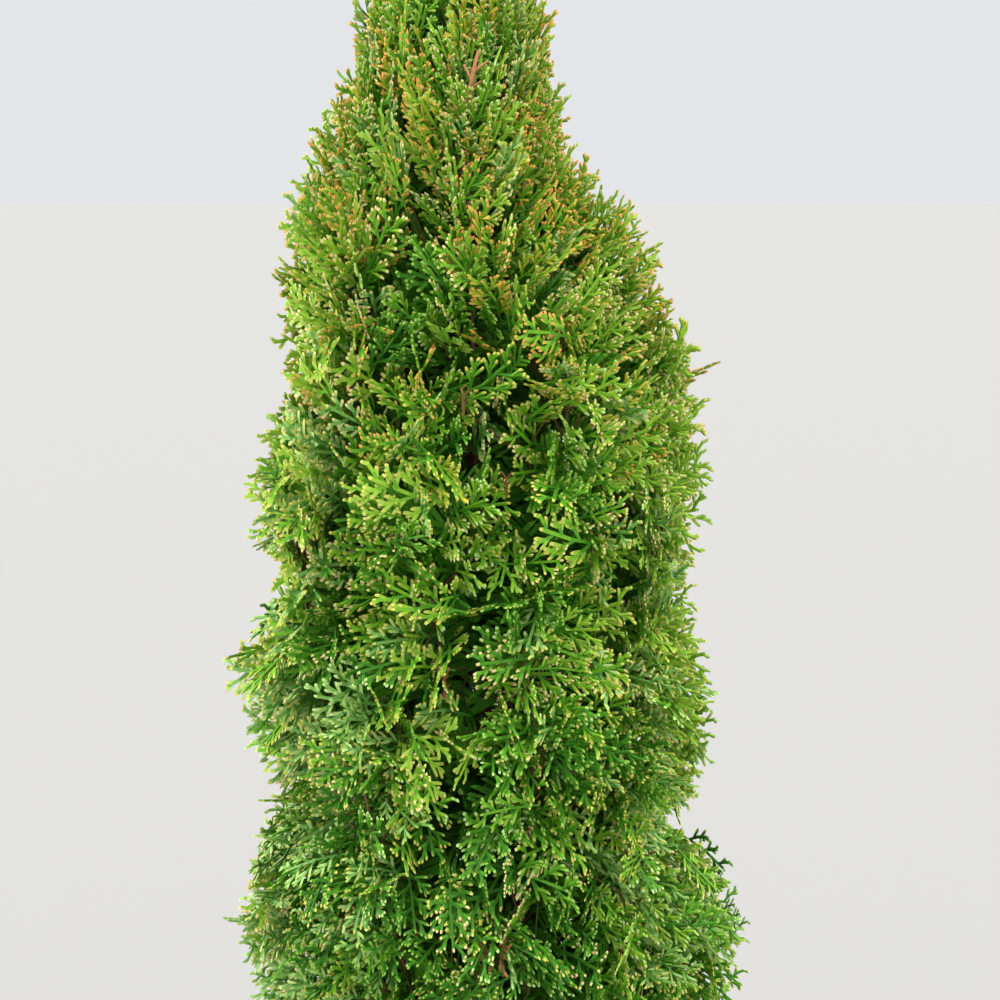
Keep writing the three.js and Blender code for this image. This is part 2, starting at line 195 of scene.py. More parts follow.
# Plumes, each on its bough, and the leader on the trunk's tip
PLUMES = 27
STEMS = PLUMES + 1
KNEE_REACH = 0.78
KNEE_RISE = 0.22
BELLY_REACH = 1.16
TIP_REACH = 0.88
FIRST_AZIMUTH = math.radians(352.5)
LOWEST_TOP = 0.470
TOP_STEP = 0.0364
TOP_SWING = 0.006
TIP_DROP = 0.008
PLUME_LENGTH = 0.350
PLUME_GIRTH = 0.100
GIRTH_SWING = 0.08
LEAST_GIRTH = 0.7
LEADER_GIRTH = 0.062
LEADER_SPRAY = 0.030
BOUGH_RISE = 0.062
LOWEST_ROOT = 0.292
ROOT_STEP = 0.009
BOUGH_SHARE = 0.3
BOUGH_RADIUS = 0.0052
BOUGH_TIP_RADIUS = 0.0026
STEM_TIP_RADIUS = 0.0009
STEM_END = 0.95
STEM_STOPS = 26
STEM_STARTS = 20
LINE_PIECES = 12
LATERALS = 12
LATERAL_DEPTH = 0.020
LATERAL_GAP = 0.004
TRUNK_GAP = 0.004
POT_GAP = 0.012
LATERAL_RADII = np.linspace(0.0016, 0.0008, 7)
TWIG_RADII = np.linspace(0.0011, 0.0008, 6)

# Sprays, in layers: how many, how deep their tips lie with its spread, their lengths and their top
LAYERS = (
    (2260, (0.005, 0.006), (0.050, 0.070), CROWN_TOP),
    (920, (0.031, 0.006), (0.050, 0.066), 1.44),
    (1020, (0.080, 0.022), (0.066, 0.090), 1.36),
)
LATTICE_AZIMUTH = 2.0
JITTER = 0.006
LEAST_DEPTH = -0.005
OUTER_DEPTH = 0.020
OPEN_DEPTH = 0.020
VALLEY_WIDTH = 0.024
VALLEY_DEPTH = 0.017
# Painted shade: how much darker sprays are where two plumes meet
VALLEY_PAINTED_SHADE = 0.30
PLUME_CONTRAST = 0.14
TOP_SHRINK = 0.34
SIDE_TURN = 50
TURN_SPREAD = 25
MOST_TURN = 68
# How far a spray's heading stands above level, in degrees, against its height
LIFTS = ((0.35, -18), (0.60, -6), (0.90, 10), (1.05, 24), (1.20, 44), (1.38, 63), (1.50, 80))
LIFT_SPREAD = 9
ROLL_SPREAD = 0.34
SHELF_SHARE = 0.5
SHELF_ROLL_SPREAD = 0.85
FACING_SHARE = 0.62
FACING_ROLL_SPREAD = 0.5
HANGING_SHARE = 0.08
HANGING_LIFT = -40
HANGING_LIFT_SPREAD = 14
HANGING_ROLL_SPREAD = 0.45
SAG = 0.20
SAG_SPREAD = 0.06
SAG_FROM = 0.95
SAG_RUN = 0.5
# Where each habit sets in with height, and the run over which it does
FINER_ABOVE = (0.95, 0.45)
OPEN_BELOW = (0.80, 0.1)
TURNS_BELOW = (1.45, 0.3)
SHELF_BELOW = (1.05, 0.2)
FACING_ABOVE = (1.00, 0.15)
HANGING_BELOW = (1.02, 0.12)
MIDDLE_BAND = (0.95, 0.35)
LOW_BAND = (0.66, 0.12)
# A flank sets in at this cosine of the azimuth, over this run
FLANK_BAND = (0.35, 0.4)
BOX_SLACK = 0.020
SPRAY_WIDTH = 0.46
SPRAY_MIDDLE = 0.35

# Spray shapes: how many there are, and their sizes in mm
TIERS = 7
SPRAY_KINDS = 10
COARSE_KINDS = 4
SHAPE_LENGTH = 50.0
FINGER_SPACING = 6.4
# Shoots are as wide at the top of the plant, where sprays are smaller
SHOOT_HALF_WIDTH = 1.12
SHOOT_GAIN = 0.32
FINE_SIDE_SHOOTS = 6

# Colours: what makes a spray's tone darker, partly painted shade and painted light, and where each tone
# sets in
PATCH_SCALE = 13.0
MIDDLE_SHADE = 0.70
PATCH_SHADE = 0.6
SHADE_SPREAD = 0.18
# Painted shade: how much darker sprays are low down, and how much more round the sides
LOW_PAINTED_SHADE = 0.30
LOW_FLANK_PAINTED_SHADE = 0.14
# Painted light: how much paler sprays are high up and round the sides, which leaves the front darker
UPPER_PAINTED_LIGHT = 0.22
FLANK_PAINTED_LIGHT = 0.42
BRIGHT_BELOW, GREEN_ABOVE, DEEP_ABOVE = 0.22, 0.64, 0.92
DEEP_TOP = 1.25
SILVER_LIMIT = 0.9
GOLDEN_SHARE = 0.27
DRY_SHARE = 0.05
DRY_BELOW = 0.52
# Shares of sprays and tips, each with what it gains low down, or for orange round the sides
SILVER_SHARE, SILVER_FLANK_SHARE = (0.08, 0.12), (0.14, 0.30)
ORANGE_SHARE, PEACH_FROM, LIME_FROM = (0.54, 0.26), (0.62, -0.14), (0.90, -0.20)
FRESH_ON_GREEN, FRESH_ELSEWHERE = (0.75, -0.30), (0.10, 0.10)


# The growth rule


def chance(*keys):
    """A repeatable number from 0 to 1 for a set of whole-number keys."""
    word = 0xFFFFFFFF
    state = SEED
    for key in keys:
        state = ((state ^ ((int(key) + 0x9E3779B9) & word)) * 0x85EBCA6B) & word
        state ^= state >> 13
        state = (state * 0xC2B2AE35) & word
        state ^= state >> 16
    return state / 2**32


def swing(*keys):
    return 2 * chance(*keys) - 1


def above(value, start, run):
    """0 up to a start, rising to 1 over the run above it."""
    return np.clip((value - start) / run, 0, 1)


def below(value, start, run):
    """0 down to a start, rising to 1 over the run below it."""
    return np.clip((start - value) / run, 0, 1)


def unit(vectors):
    return vectors / np.maximum(np.linalg.norm(vectors, axis=-1, keepdims=True), 1e-9)


def curve(a, b, c, t):
    """A curve that leaves a towards b and ends at c, at the shares t of its way."""
    return (1 - t) ** 2 * a + 2 * t * (1 - t) * b + t * t * c


def crown_middle(z):
    """The middle line that the crown and the trunk share, which leans and bows a little."""
    z = np.asarray(z, float)
    rise = np.clip((z - GROUND) / (CROWN_TOP - GROUND), 0, None)
    bow = BOW * np.sin(TAU * rise)
    return np.stack([LEAN[0] * rise**1.5 + bow, LEAN[1] * rise + bow, z], -1)


def crown_radius(z, azimuth):
    z = np.asarray(z, float)
    drop = np.clip((WAIST - z) / (WAIST - CROWN_FOOT), 0, None)
    rise = above(z, WAIST, CROWN_TOP - WAIST)
    left = np.where(z > SHOULDER, below(z, NOTCH_TOP, NOTCH_TOP - SHOULDER), 0)
    notch = NOTCH_DEPTH * left * np.clip(np.cos(azimuth), 0, 1)
    upper = CROWN_RADIUS * (1 - notch) * (1 - rise**TOP_TAPER) ** TOP_ROUND
    radius = np.where(z < WAIST, CROWN_RADIUS * (1 - FOOT_TUCK * drop**3), upper)
    for side, height, half, swell in SWELLS:
        facing = np.clip(np.cos(azimuth - math.radians(side)), 0, 1) ** 1.5
        radius = radius + swell * facing * np.exp(-(((z - height) / half) ** 2))
    return radius


def crown_point(radius, azimuth, z):
    return crown_middle(z) + np.array([radius * math.cos(azimuth), radius * math.sin(azimuth), 0])


def level_way(azimuth):
    return np.stack([np.cos(azimuth), np.sin(azimuth), 0 * azimuth], -1)


def trunk_radius(z):
    rise = above(z, GROUND, TRUNK_TIP - GROUND)
    return TRUNK_RADIUS + (TRUNK_TIP_RADIUS - TRUNK_RADIUS) * rise**0.8


def round_middle(points):
    """How far points are from the crown's middle line, and their azimuths round it."""
    x, y, _ = (points - crown_middle(points[:, 2])).T
    return np.hypot(x, y), np.arctan2(y, x)


def plume_of(index):
    """One plume's line, as the four corners of a Bezier curve, with its girth and side."""
    azimuth = FIRST_AZIMUTH + index * GOLDEN_ANGLE
    top = LOWEST_TOP + TOP_STEP * index + TOP_SWING * swing(index, 1)
    foot = max(CROWN_FOOT, top - PLUME_LENGTH)
    root = max(LOWEST_ROOT + ROOT_STEP * (index % 3), foot - BOUGH_RISE)
    middle = (foot + top) / 2
    size = max(LEAST_GIRTH, float(crown_radius(top, azimuth)) / CROWN_RADIUS)
    girth = PLUME_GIRTH * size * (1 + GIRTH_SWING * swing(index, 2))
    reach = float(crown_radius(middle, azimuth)) - girth
    corners = [
        crown_middle(root),
        crown_point(KNEE_REACH * reach, azimuth, root + KNEE_RISE * (middle - root)),
        crown_point(BELLY_REACH * reach, azimuth, middle),
        crown_point(TIP_REACH * float(crown_radius(top, azimuth)), azimuth, top - TIP_DROP),
    ]
    return corners, girth, BOUGH_SHARE, [-math.sin(azimuth), math.cos(azimuth), 0]


# The last plume, the leader, stands on the trunk's tip
leader_line = [crown_middle(z) for z in np.linspace(TRUNK_TIP, CROWN_TOP - LEADER_SPRAY, 4)]
plumes = [plume_of(i) for i in range(PLUMES)] + [(leader_line, LEADER_GIRTH, 0.0, [0, 1, 0])]
CORNERS, GIRTH, BEGINS, SIDES = (np.array(part, float) for part in zip(*plumes))
NODE_NAMES = [f"{i + 1:02d}" for i in range(PLUMES)] + ["top"]


def on_line(plume, share):
    """Points on plumes' lines; plume and share are arrays of one length."""
    t = np.asarray(share, float)[:, None]
    a, b, c, d = CORNERS[plume].swapaxes(0, 1)
    return (1 - t) ** 3 * a + 3 * (1 - t) ** 2 * t * b + 3 * (1 - t) * t * t * c + t**3 * d


def section(plume, share):
    """Middle, across, over and along of the lines: over points away from the trunk."""
    t = np.asarray(share, float)[:, None]
    a, b, c, d = CORNERS[plume].swapaxes(0, 1)
    along = unit((1 - t) ** 2 * (b - a) + 2 * (1 - t) * t * (c - b) + t * t * (d - c))
    over = unit(np.cross(SIDES[plume], along))
    return on_line(plume, share), np.cross(along, over), over, along


every_line = np.arange(STEMS)
shares = np.linspace(0, 1, LINE_PIECES + 1)
STOPS = np.stack([on_line(every_line, np.full(STEMS, share)) for share in shares], 1)
LINE_FROM = STOPS[:, :-1]
LINE_RUN = STOPS[:, 1:] - STOPS[:, :-1]
LINE_SQUARE = (LINE_RUN**2).sum(-1)


def line_gaps(points):
    """From the nearest point of each plume's line to each point, piece by piece."""
    gap = points[:, None, None] - LINE_FROM
    share = np.clip((gap * LINE_RUN).sum(-1) / LINE_SQUARE, 0, 1)
    return gap - share[..., None] * LINE_RUN


def line_distances(points):
    """How far each point is from each plume's line."""
    return np.sqrt((line_gaps(points) ** 2).sum(-1)).min(-1)


def nearest_gap(points):
    """The plume that each point is nearest to, and the way to it from that plume's line."""
    gaps = line_gaps(points)
    square = (gaps**2).sum(-1)
    rows = np.arange(len(points))
    plume = square.min(-1).argmin(1)
    return plume, gaps[rows, plume, square[rows, plume].argmin(1)]


def in_own_space(plume, points, gap):
    """Nearer to the plume's own line than to any other's, clear of the trunk and above the pot."""
    distances = line_distances(points)
    rows = np.arange(len(points))
    own = distances[rows, plume]
    distances[rows, plume] = np.inf
    z = points[:, 2]
    clear = (round_middle(points)[0] > trunk_radius(z) + TRUNK_GAP) | (z > TRUNK_TIP)
    inside = (z > CROWN_FOOT - POT_GAP) & (z < CROWN_TOP)
    return inside & clear & (distances.min(-1) - own > gap)


def reaches_of(plume, share, middle, outward, step=0.004):
    """How far a plume's side shoots may reach from its line, growing out until they meet an edge."""
    blunt_foot = np.sin(math.pi * np.clip(share, 0, 1) ** 0.85).clip(0, 1) ** 0.5
    most = 0.96 * GIRTH[plume] * blunt_foot + 0.004
    reach = np.full(len(plume), 0.006)
    growing = np.ones(len(plume), bool)
    while growing.any():
        rows = np.flatnonzero(growing)
        ahead = middle[rows] + outward[rows] * (reach[rows, None] + step)
        radius, azimuth = round_middle(ahead)
        depth = crown_radius(ahead[:, 2], azimuth) - radius
        fits = (reach[rows] < most[rows]) & (depth > LATERAL_DEPTH)
        fits &= in_own_space(plume[rows], ahead, LATERAL_GAP)
        reach[rows[fits]] += step
        growing[rows[~fits]] = False
    return reach


# Where the sprays go


def size_at(z):
    """Sprays are finer towards the top of the plant."""
    return 1 - TOP_SHRINK * above(z, *FINER_ABOVE)


def crown_lattice(count):
    """Evenly spread heights and azimuths over the crown's outline, in a golden spiral."""
    z = np.linspace(CROWN_FOOT, CROWN_TOP - 0.002, 600)
    radius = crown_radius(z, np.full(len(z), LATTICE_AZIMUTH))
    run = np.hypot(np.diff(z), np.diff(radius)) / size_at(z[1:]) ** 2
    area = np.concatenate([[0], np.cumsum(run * (radius[1:] + radius[:-1]))])
    share = (np.arange(count) + 0.5) / count
    return np.interp(share * area[-1], area, z), np.arange(count) * GOLDEN_ANGLE


def valley_at(distances):
    """1 on the line where two plumes meet, falling to 0 a little way into either."""
    nearest = np.partition(distances, 1, axis=1)
    return np.clip(1 - (nearest[:, 1] - nearest[:, 0]) / VALLEY_WIDTH, 0, 1)


def spot_at(points, x, z, half_width, half_height):
    """1 in the middle of a spot on the crown's front, falling to 0 round it."""
    away = ((points[:, 0] - x) / half_width) ** 2 + ((points[:, 2] - z) / half_height) ** 2
    return np.where(points[:, 1] < 0, np.exp(-away), 0)


def hollow_at(points):
    """1 in the middle of each hollow at the front, falling to 0 round it."""
    return np.max([spot_at(points, *hollow) for hollow in HOLLOWS], axis=0)


def chosen(places, mask):
    return {k: (v[mask] if isinstance(v, np.ndarray) else v) for k, v in places.items()}


def spray_places(seed, count, depths, lengths, top):
    """Feet, tips, headings, rolls, lengths, sags, depths and plumes of one layer of sprays.

    Each spray's tip lies on the crown's outline or at a depth inside it, and its foot lies one
    spray's length back from there. It turns away from its plume's line on either side, and low
    down some sprays hang with their flat side outwards.
    """
    dice = np.random.default_rng(seed)

    def scatter(spread):
        return dice.normal(0, spread, count)

    def some(share):
        return dice.random(count) < share

    z, azimuth = crown_lattice(count)
    z = np.clip(z + scatter(JITTER), CROWN_FOOT + 0.004, CROWN_TOP - 0.006)
    azimuth = azimuth + scatter(JITTER) / np.maximum(crown_radius(z, azimuth), 0.01)
    radius, middle, level = crown_radius(z, azimuth), crown_middle(z), level_way(azimuth)
    valley = valley_at(line_distances(middle + level * (0.9 * radius)[:, None]))
    depth = dice.normal(*depths, count) + VALLEY_DEPTH * valley * radius / CROWN_RADIUS
    if depths[0] > OUTER_DEPTH:
        depth += OPEN_DEPTH * below(z, *OPEN_BELOW)
    depth = np.maximum(depth, LEAST_DEPTH)
    tip = middle + level * np.maximum(radius - depth, 0.1 * radius)[:, None]
    plume, gap = nearest_gap(tip)
    sideways = (gap * level_way(azimuth + math.pi / 2)).sum(-1)
    sideways = sideways / np.maximum(np.linalg.norm(gap, axis=1), 0.01)
    spread = TURN_SPREAD * np.maximum(below(z, *TURNS_BELOW), 0.4)
    turn = SIDE_TURN * sideways + scatter(spread)
    turn = np.radians(np.clip(turn, -MOST_TURN, MOST_TURN))
    lift = np.interp(tip[:, 2], *np.transpose(LIFTS)) + scatter(LIFT_SPREAD)
    shelf = some(SHELF_SHARE * np.maximum(below(z, *SHELF_BELOW), 0.15))
    roll = np.where(shelf, scatter(SHELF_ROLL_SPREAD), scatter(ROLL_SPREAD))
    facing = some(FACING_SHARE * above(z, *FACING_ABOVE))
    roll = np.where(facing, math.pi / 2 + scatter(FACING_ROLL_SPREAD), roll)
    hanging = some(HANGING_SHARE * below(z, *HANGING_BELOW))
    lift = np.where(hanging, HANGING_LIFT + scatter(HANGING_LIFT_SPREAD), lift)
    roll = np.where(hanging, math.pi / 2 + scatter(HANGING_ROLL_SPREAD), roll)
    lift = np.radians(lift)
    heading = level_way(azimuth + turn) * np.cos(lift)[:, None]
    heading[:, 2] = np.sin(lift)
    length = dice.uniform(*lengths, count) * size_at(tip[:, 2])
    height = np.clip((tip[:, 2] - SAG_FROM) / SAG_RUN, -0.6, 1)
    sag = length * (SAG * height + scatter(SAG_SPREAD))
    foot = tip - heading * length[:, None]
    pressed = np.maximum(hollow_at(tip), hollow_at(tip - heading * (SPRAY_MIDDLE * length)[:, None]))
    inward = level * (HOLLOW_DEPTH * pressed)[:, None]
    tip, foot = tip - inward, foot - inward
    overhang = overhang_of(foot, heading, roll, length)
    foot[:, :2] -= overhang
    tip[:, :2] -= overhang
    foot[:, 2] -= sag
    places = dict(foot=foot, tip=tip, heading=heading, roll=roll, length=length, sag=sag)
    places.update(depth=depth, valley=valley, plume=plume, dice=dice)
    return chosen(places, tip[:, 2] < top)


def overhang_of(foot, heading, roll, length):
    """How far a spray's widest points stand out of the solids' box with its slack, along X and Y."""
    upright = unit(np.array([0, 0, 1]) - heading * heading[:, 2:])
    across = upright * np.cos(roll)[:, None] + np.cross(heading, upright) * np.sin(roll)[:, None]
    size = length[:, None]
    points = [foot + heading * size]
    points += [foot + (heading * 0.7 + across * s) * size for s in (-SPRAY_WIDTH, SPRAY_WIDTH)]
    low = np.min(points, axis=0)[:, :2] - (np.array(cad_low)[:2] - BOX_SLACK)
    high = np.max(points, axis=0)[:, :2] - (np.array(cad_high)[:2] + BOX_SLACK)
    return np.maximum(high, 0) + np.minimum(low, 0)


def turns_of(heading, roll):
    """Euler angles that lay a spray's X along its heading and its Y upright, and then roll it."""
    made = []
    for ahead, angle in zip(heading, roll):
        x = Vector(ahead)
        y = (Vector((0, 0, 1)) - x * x.z).normalized()
        z = x.cross(y)
        y, z = y * math.cos(angle) + z * math.sin(angle), z * math.cos(angle) - y * math.sin(angle)
        made.append(Matrix((x, y, z)).transposed().to_euler())
    return np.array(made, float)


def outlook(places):
    """How high up, how low down and how far round to a side each spray is, and its azimuth."""
    z = places["tip"][:, 2]
    azimuth = round_middle(places["tip"])[1]
    flank = above(np.abs(np.cos(azimuth)), *FLANK_BAND)
    return above(z, *MIDDLE_BAND), below(z, *MIDDLE_BAND), flank, azimuth


def gained(share, by):
    return share[0] + share[1] * by


def shade_tones(places, pale, dark):
    """The paler of two tones for most sprays high up and round the sides, the darker in front: painted
    light at the top and sides, painted shade in front.
    """
    upper, _, flank, _ = outlook(places)
    painted_light_share = 0.30 + 0.60 * np.maximum(flank, upper)
    return np.where(places["dice"].random(len(upper)) < painted_light_share, pale, dark)


def tones_of(places):
    """The tone and the tip of each spray, from its height, its side and chance."""
    dice, tips = places["dice"], places["tip"]
    count, z = len(tips), tips[:, 2]
    upper, lower, flank, azimuth = outlook(places)
    patch = np.array([noise.noise(Vector(tip) * PATCH_SCALE) for tip in tips])
    shade = MIDDLE_SHADE + PATCH_SHADE * patch + dice.normal(0, SHADE_SPREAD, count)
    # Painted shade low down
    low_painted_shade = (LOW_PAINTED_SHADE + LOW_FLANK_PAINTED_SHADE * flank) * below(z, *LOW_BAND)
    # Painted light high up and round the sides, together with the painted shade low down
    shade += low_painted_shade - UPPER_PAINTED_LIGHT * upper - FLANK_PAINTED_LIGHT * flank
    plume_shades = np.random.default_rng(PLUME_SHADE_SEED).normal(0, PLUME_CONTRAST, STEMS)
    # Each plume's own shift is tone that differs at random. Where plumes meet the sprays get painted
    # shade, and along a plume's middle a little painted light.
    shade += plume_shades[places["plume"]] + VALLEY_PAINTED_SHADE * (places["valley"] - 0.35)
    # Painted shade in spots on the front, and painted light where a spot's amount is below zero
    centre = (places["foot"] + tips) / 2
    for *spot, darker in PAINTED_SHADE_AND_LIGHT_SPOTS:
        shade += darker * spot_at(centre, *spot)
    tone = np.full(count, VIVID)
    tone[shade < BRIGHT_BELOW] = BRIGHT
    tone[shade > GREEN_ABOVE] = GREEN
    tone[(shade > DEEP_ABOVE) & (z < DEEP_TOP)] = DEEP
    # More silver sprays towards the left, on the -X side
    left_side_weight = 1 - 0.6 * np.cos(azimuth)
    flank_share = left_side_weight * flank * gained(SILVER_FLANK_SHARE, lower)
    silver = dice.random(count) < gained(SILVER_SHARE, lower) + flank_share
    tone[silver & (shade < SILVER_LIMIT)] = SILVER
    tone[dice.random(count) < GOLDEN_SHARE * upper] = GOLDEN
    draw = dice.random(count)
    tip = np.full(count, GOLD)
    tip[draw < gained(ORANGE_SHARE, flank) * upper] = ORANGE
    tip[draw > gained(PEACH_FROM, lower)] = PEACH
    tip[draw > gained(LIME_FROM, lower)] = LIME
    green = (tone == GREEN) | (tone == DEEP)
    fresh = np.where(green, gained(FRESH_ON_GREEN, lower), gained(FRESH_ELSEWHERE, lower))
    tip[dice.random(count) < fresh] = FRESH
    tip[(tone == SILVER) & (tip == ORANGE)] = PEACH
    dry = (dice.random(count) < DRY_SHARE) & (z < DRY_BELOW) & (places["valley"] > 0.2)
    for x, height, around in DRY_SPOTS:
        near = np.hypot(tips[:, 0] - x, z - height) < around
        dry |= near & (tips[:, 1] < 0) & (places["depth"] > 0.006)
    tone[dry], tip[dry] = DRY, TIP_DRY
    return tone, tip


# Objects and node trees


def plain_mesh(name, places, faces=(), edges=()):
    made = bpy.data.meshes.new(name)
    made.from_pydata([tuple(place) for place in places], list(edges), list(faces))
    return made


def add_object(name, data):
    made = bpy.data.objects.new(name, data)
    bpy.context.scene.collection.objects.link(made)
    return made


def piece(name, mesh, replaced=()):
    """Puts a finished mesh in the scene on the root body, and hides the model's parts that it replaces.
    """
    made = add_object(name, mesh)
    mesh.name = name
    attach(made, "root")
    if replaced:
        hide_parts(*replaced)


def point_mesh(name, places, attributes, edges=()):
    """A mesh of bare points, or of points and edges, that carries attributes for a tree to read."""
    made = plain_mesh(name, places, edges=edges)
    for key, values in attributes.items():
        values = np.asarray(values)
        kind = "FLOAT_VECTOR" if values.ndim == 2 else "INT" if values.dtype.kind == "i" else "FLOAT"
        data = made.attributes.new(key, kind, "POINT").data
        field = "vector" if values.ndim == 2 else "value"
        data.foreach_set(field, values.astype("i4" if kind == "INT" else "f4").ravel())
    return made


def baked(thing):
    """A plain mesh of an object with its modifiers applied. The object goes."""
    graph = bpy.context.evaluated_depsgraph_get()
    mesh = bpy.data.meshes.new_from_object(thing.evaluated_get(graph), depsgraph=graph)
    thing.modifiers.clear()
    bpy.data.objects.remove(thing)
    return mesh


def grow(name, source, tree, values, shapes=()):
    """Runs a geometry tree on a mesh, with the shapes that it deals out, and gives a plain mesh."""
    library = bpy.data.collections.new(name + "_shapes")
    for i, shape in enumerate(shapes):
        library.objects.link(bpy.data.objects.new(f"{name}_shape_{i:02d}", shape))
    values = {**values, "Shapes": library}
    holder = add_object(name + "_source", source)
    modifier = holder.modifiers.new(name, "NODES")
    modifier.node_group = tree
    for item in tree.interface.items_tree:
        if item.in_out == "INPUT" and item.name in values:
            modifier[item.identifier] = values[item.name]
    mesh = baked(holder)
    for thing in list(library.objects):
        bpy.data.objects.remove(thing)
    bpy.data.collections.remove(library)
    for key in ("turn", "size", "kind", "sag", "tone", "tip", "part", "reach", "girth", "pale"):
        if key in mesh.attributes:
            mesh.attributes.remove(mesh.attributes[key])
    return mesh


def node(tree, kind, *inputs, **named):
    """Adds a node. Its inputs are given in their order, with None for one left alone, or by name.

    A name in lower case sets a property, and _ in an input's name stands for a space.
    """
    made = tree.nodes.new(kind)
    wanted = list(enumerate(inputs))
    for key, value in named.items():
        if key.islower():
            setattr(made, key, value)
        else:
            wanted.append((key.replace("_", " "), value))
    for key, value in wanted:
        if isinstance(value, bpy.types.NodeSocket):
            tree.links.new(value, made.inputs[key])
        elif value is not None:
            made.inputs[key].default_value = value
    return made


def result(tree, kind, *inputs, out=0, **named):
    """Adds a node and gives one of its outputs."""
    return node(tree, kind, *inputs, **named).outputs[out]


def maths(tree, operation, a, b=0.0):
    return result(tree, "ShaderNodeMath", a, b, operation=operation)


def product_of(tree, a, b):
    return result(tree, "ShaderNodeVectorMath", a, b, operation="MULTIPLY")


def xyz(tree, **parts):
    return result(tree, "ShaderNodeCombineXYZ", **parts)


def noise_at(tree, place, scale, detail):
    return result(tree, "ShaderNodeTexNoise", Vector=place, Scale=scale, Detail=detail)


def equal(tree, a, b):
    return result(tree, "FunctionNodeCompare", None, None, a, b, data_type="INT", operation="EQUAL")


def attribute(tree, name, kind="FLOAT"):
    return result(tree, "GeometryNodeInputNamedAttribute", Name=name, data_type=kind)


def random_between(tree, low, high, seed):
    """A random number for each point."""
    return result(tree, "FunctionNodeRandomValue", None, None, low, high, Seed=seed, out=1)


def rotation(tree, euler):
    return result(tree, "FunctionNodeEulerToRotation", euler)


def set_material(tree, geometry, material, selection=True):
    return result(tree, "GeometryNodeSetMaterial", geometry, selection, material)


def stand_on_points(tree, collection, **placing):
    """Stands one of a collection's shapes on every point, and makes them real."""
    kind = "GeometryNodeCollectionInfo"
    shapes = result(tree, kind, Collection=collection, Separate_Children=True, Reset_Children=True)
    kind = "GeometryNodeInstanceOnPoints"
    placed = result(tree, kind, Instance=shapes, Pick_Instance=True, **placing)
    return result(tree, "GeometryNodeRealizeInstances", placed)


def add_sockets(tree, direction, kinds):
    """Gives a tree named inputs or outputs, and returns their inner ends."""
    for kind, names in kinds.items():
        for name in names:
            tree.interface.new_socket(name, in_out=direction, socket_type="NodeSocket" + kind)
    ends = node(tree, "NodeGroup" + direction.capitalize())
    return ends.outputs if direction == "INPUT" else ends.inputs


def geometry_tree(name, **inputs):
    """A geometry tree with a Geometry input and output, and the named inputs by kind."""
    tree = bpy.data.node_groups.new(name, "GeometryNodeTree")
    geometry = {"Geometry": ["Geometry"]}
    output = add_sockets(tree, "OUTPUT", geometry)[0]
    return tree, add_sockets(tree, "INPUT", {**geometry, **inputs}), output


# Finishes


def linear(red, green, blue):
    """A colour given as a screen shows it, from 0 to 255, as the shader wants it."""
    shares = [channel / 255 for channel in (red, green, blue)]
    return tuple(c / 12.92 if c <= 0.04045 else ((c + 0.055) / 1.055) ** 2.4 for c in shares) + (1,)


def finish_of(name, colour, roughness):
    """A new material with its Principled shader's colour and roughness set."""
    material = bpy.data.materials.new(name)
    material.use_nodes = True
    shader = material.node_tree.nodes["Principled BSDF"]
    shader.inputs["Base Color"].default_value = colour
    shader.inputs["Roughness"].default_value = roughness
    return material, material.node_tree, shader


def leaf_finish(name, red, green, blue, roughness=0.55):
    """Scale leaves: a plain colour with a faint waxy gloss."""
    material, _, shader = finish_of(name, linear(red, green, blue), roughness)
    shader.inputs["Specular IOR Level"].default_value = 0.12
    return material


# A spray's shoots have its tone, the paler one before it at their ends, the next at their feet.
LEAF_TONES = [leaf_finish("leaf_" + name, *colour) for name, *colour in (
    ("pale", 144, 178, 64),
    ("bright", 126, 166, 44),
    ("vivid", 96, 150, 32),
    ("green", 68, 128, 26),
    ("deep", 52, 108, 22),
    ("shaded", 44, 94, 15),
    ("inner", 36, 76, 12),
    ("silver_pale", 156, 188, 108),
    ("silver", 110, 156, 74),
    ("silver_deep", 70, 122, 42),
    ("golden_pale", 176, 170, 54),
    ("golden", 118, 152, 34),
    ("golden_deep", 80, 130, 24),
    ("dry_pale", 140, 110, 66),
    ("dry", 104, 76, 44),
    ("dry_deep", 76, 48, 28),
)]
TIP_TONES = [leaf_finish("tip_" + name, *colour) for name, *colour in (
    ("orange", 214, 156, 80),
    ("peach", 208, 190, 128),
    ("gold", 182, 180, 84),
    ("lime", 170, 198, 120),
    ("dry", 134, 86, 46),
    ("fresh", 136, 172, 72),
)]
BRIGHT, VIVID, GREEN, DEEP = range(1, 5)
SILVER, GOLDEN, DRY = 8, 11, 14
ORANGE, PEACH, GOLD, LIME, TIP_DRY, FRESH = range(6)
BROWN_TWIG, GREEN_TWIG, DEAD_TWIG, WEATHERED_TWIG = (
    leaf_finish("twig_" + name, *colour) for name, *colour in (
        ("brown", 90, 72, 42, 0.8),
        ("green", 70, 84, 28, 0.7),
        ("dead", 188, 132, 96, 0.85),
        ("weathered", 122, 82, 54, 0.85),
    )
)


def mottle_group():
    """Uneven patches at two scales, drawn out along Z: values from 0 to 1 for colour and relief."""
    tree = bpy.data.node_groups.new("mottle", "ShaderNodeTree")
    inputs = add_sockets(tree, "INPUT", {"Float": ["Scale", "Draw Out", "Detail"]})
    outputs = add_sockets(tree, "OUTPUT", {"Float": ["Patches", "Fibres"]})
    place = result(tree, "ShaderNodeTexCoord", out="Object")
    squash = maths(tree, "DIVIDE", 1.0, inputs["Draw Out"])
    drawn = product_of(tree, place, xyz(tree, X=1.0, Y=1.0, Z=squash))
    finer = maths(tree, "MULTIPLY", inputs["Scale"], 5.0)
    for name, scale in (("Patches", inputs["Scale"]), ("Fibres", finer)):
        tree.links.new(noise_at(tree, drawn, scale, inputs["Detail"]), outputs[name])
    return tree


MOTTLE = mottle_group()


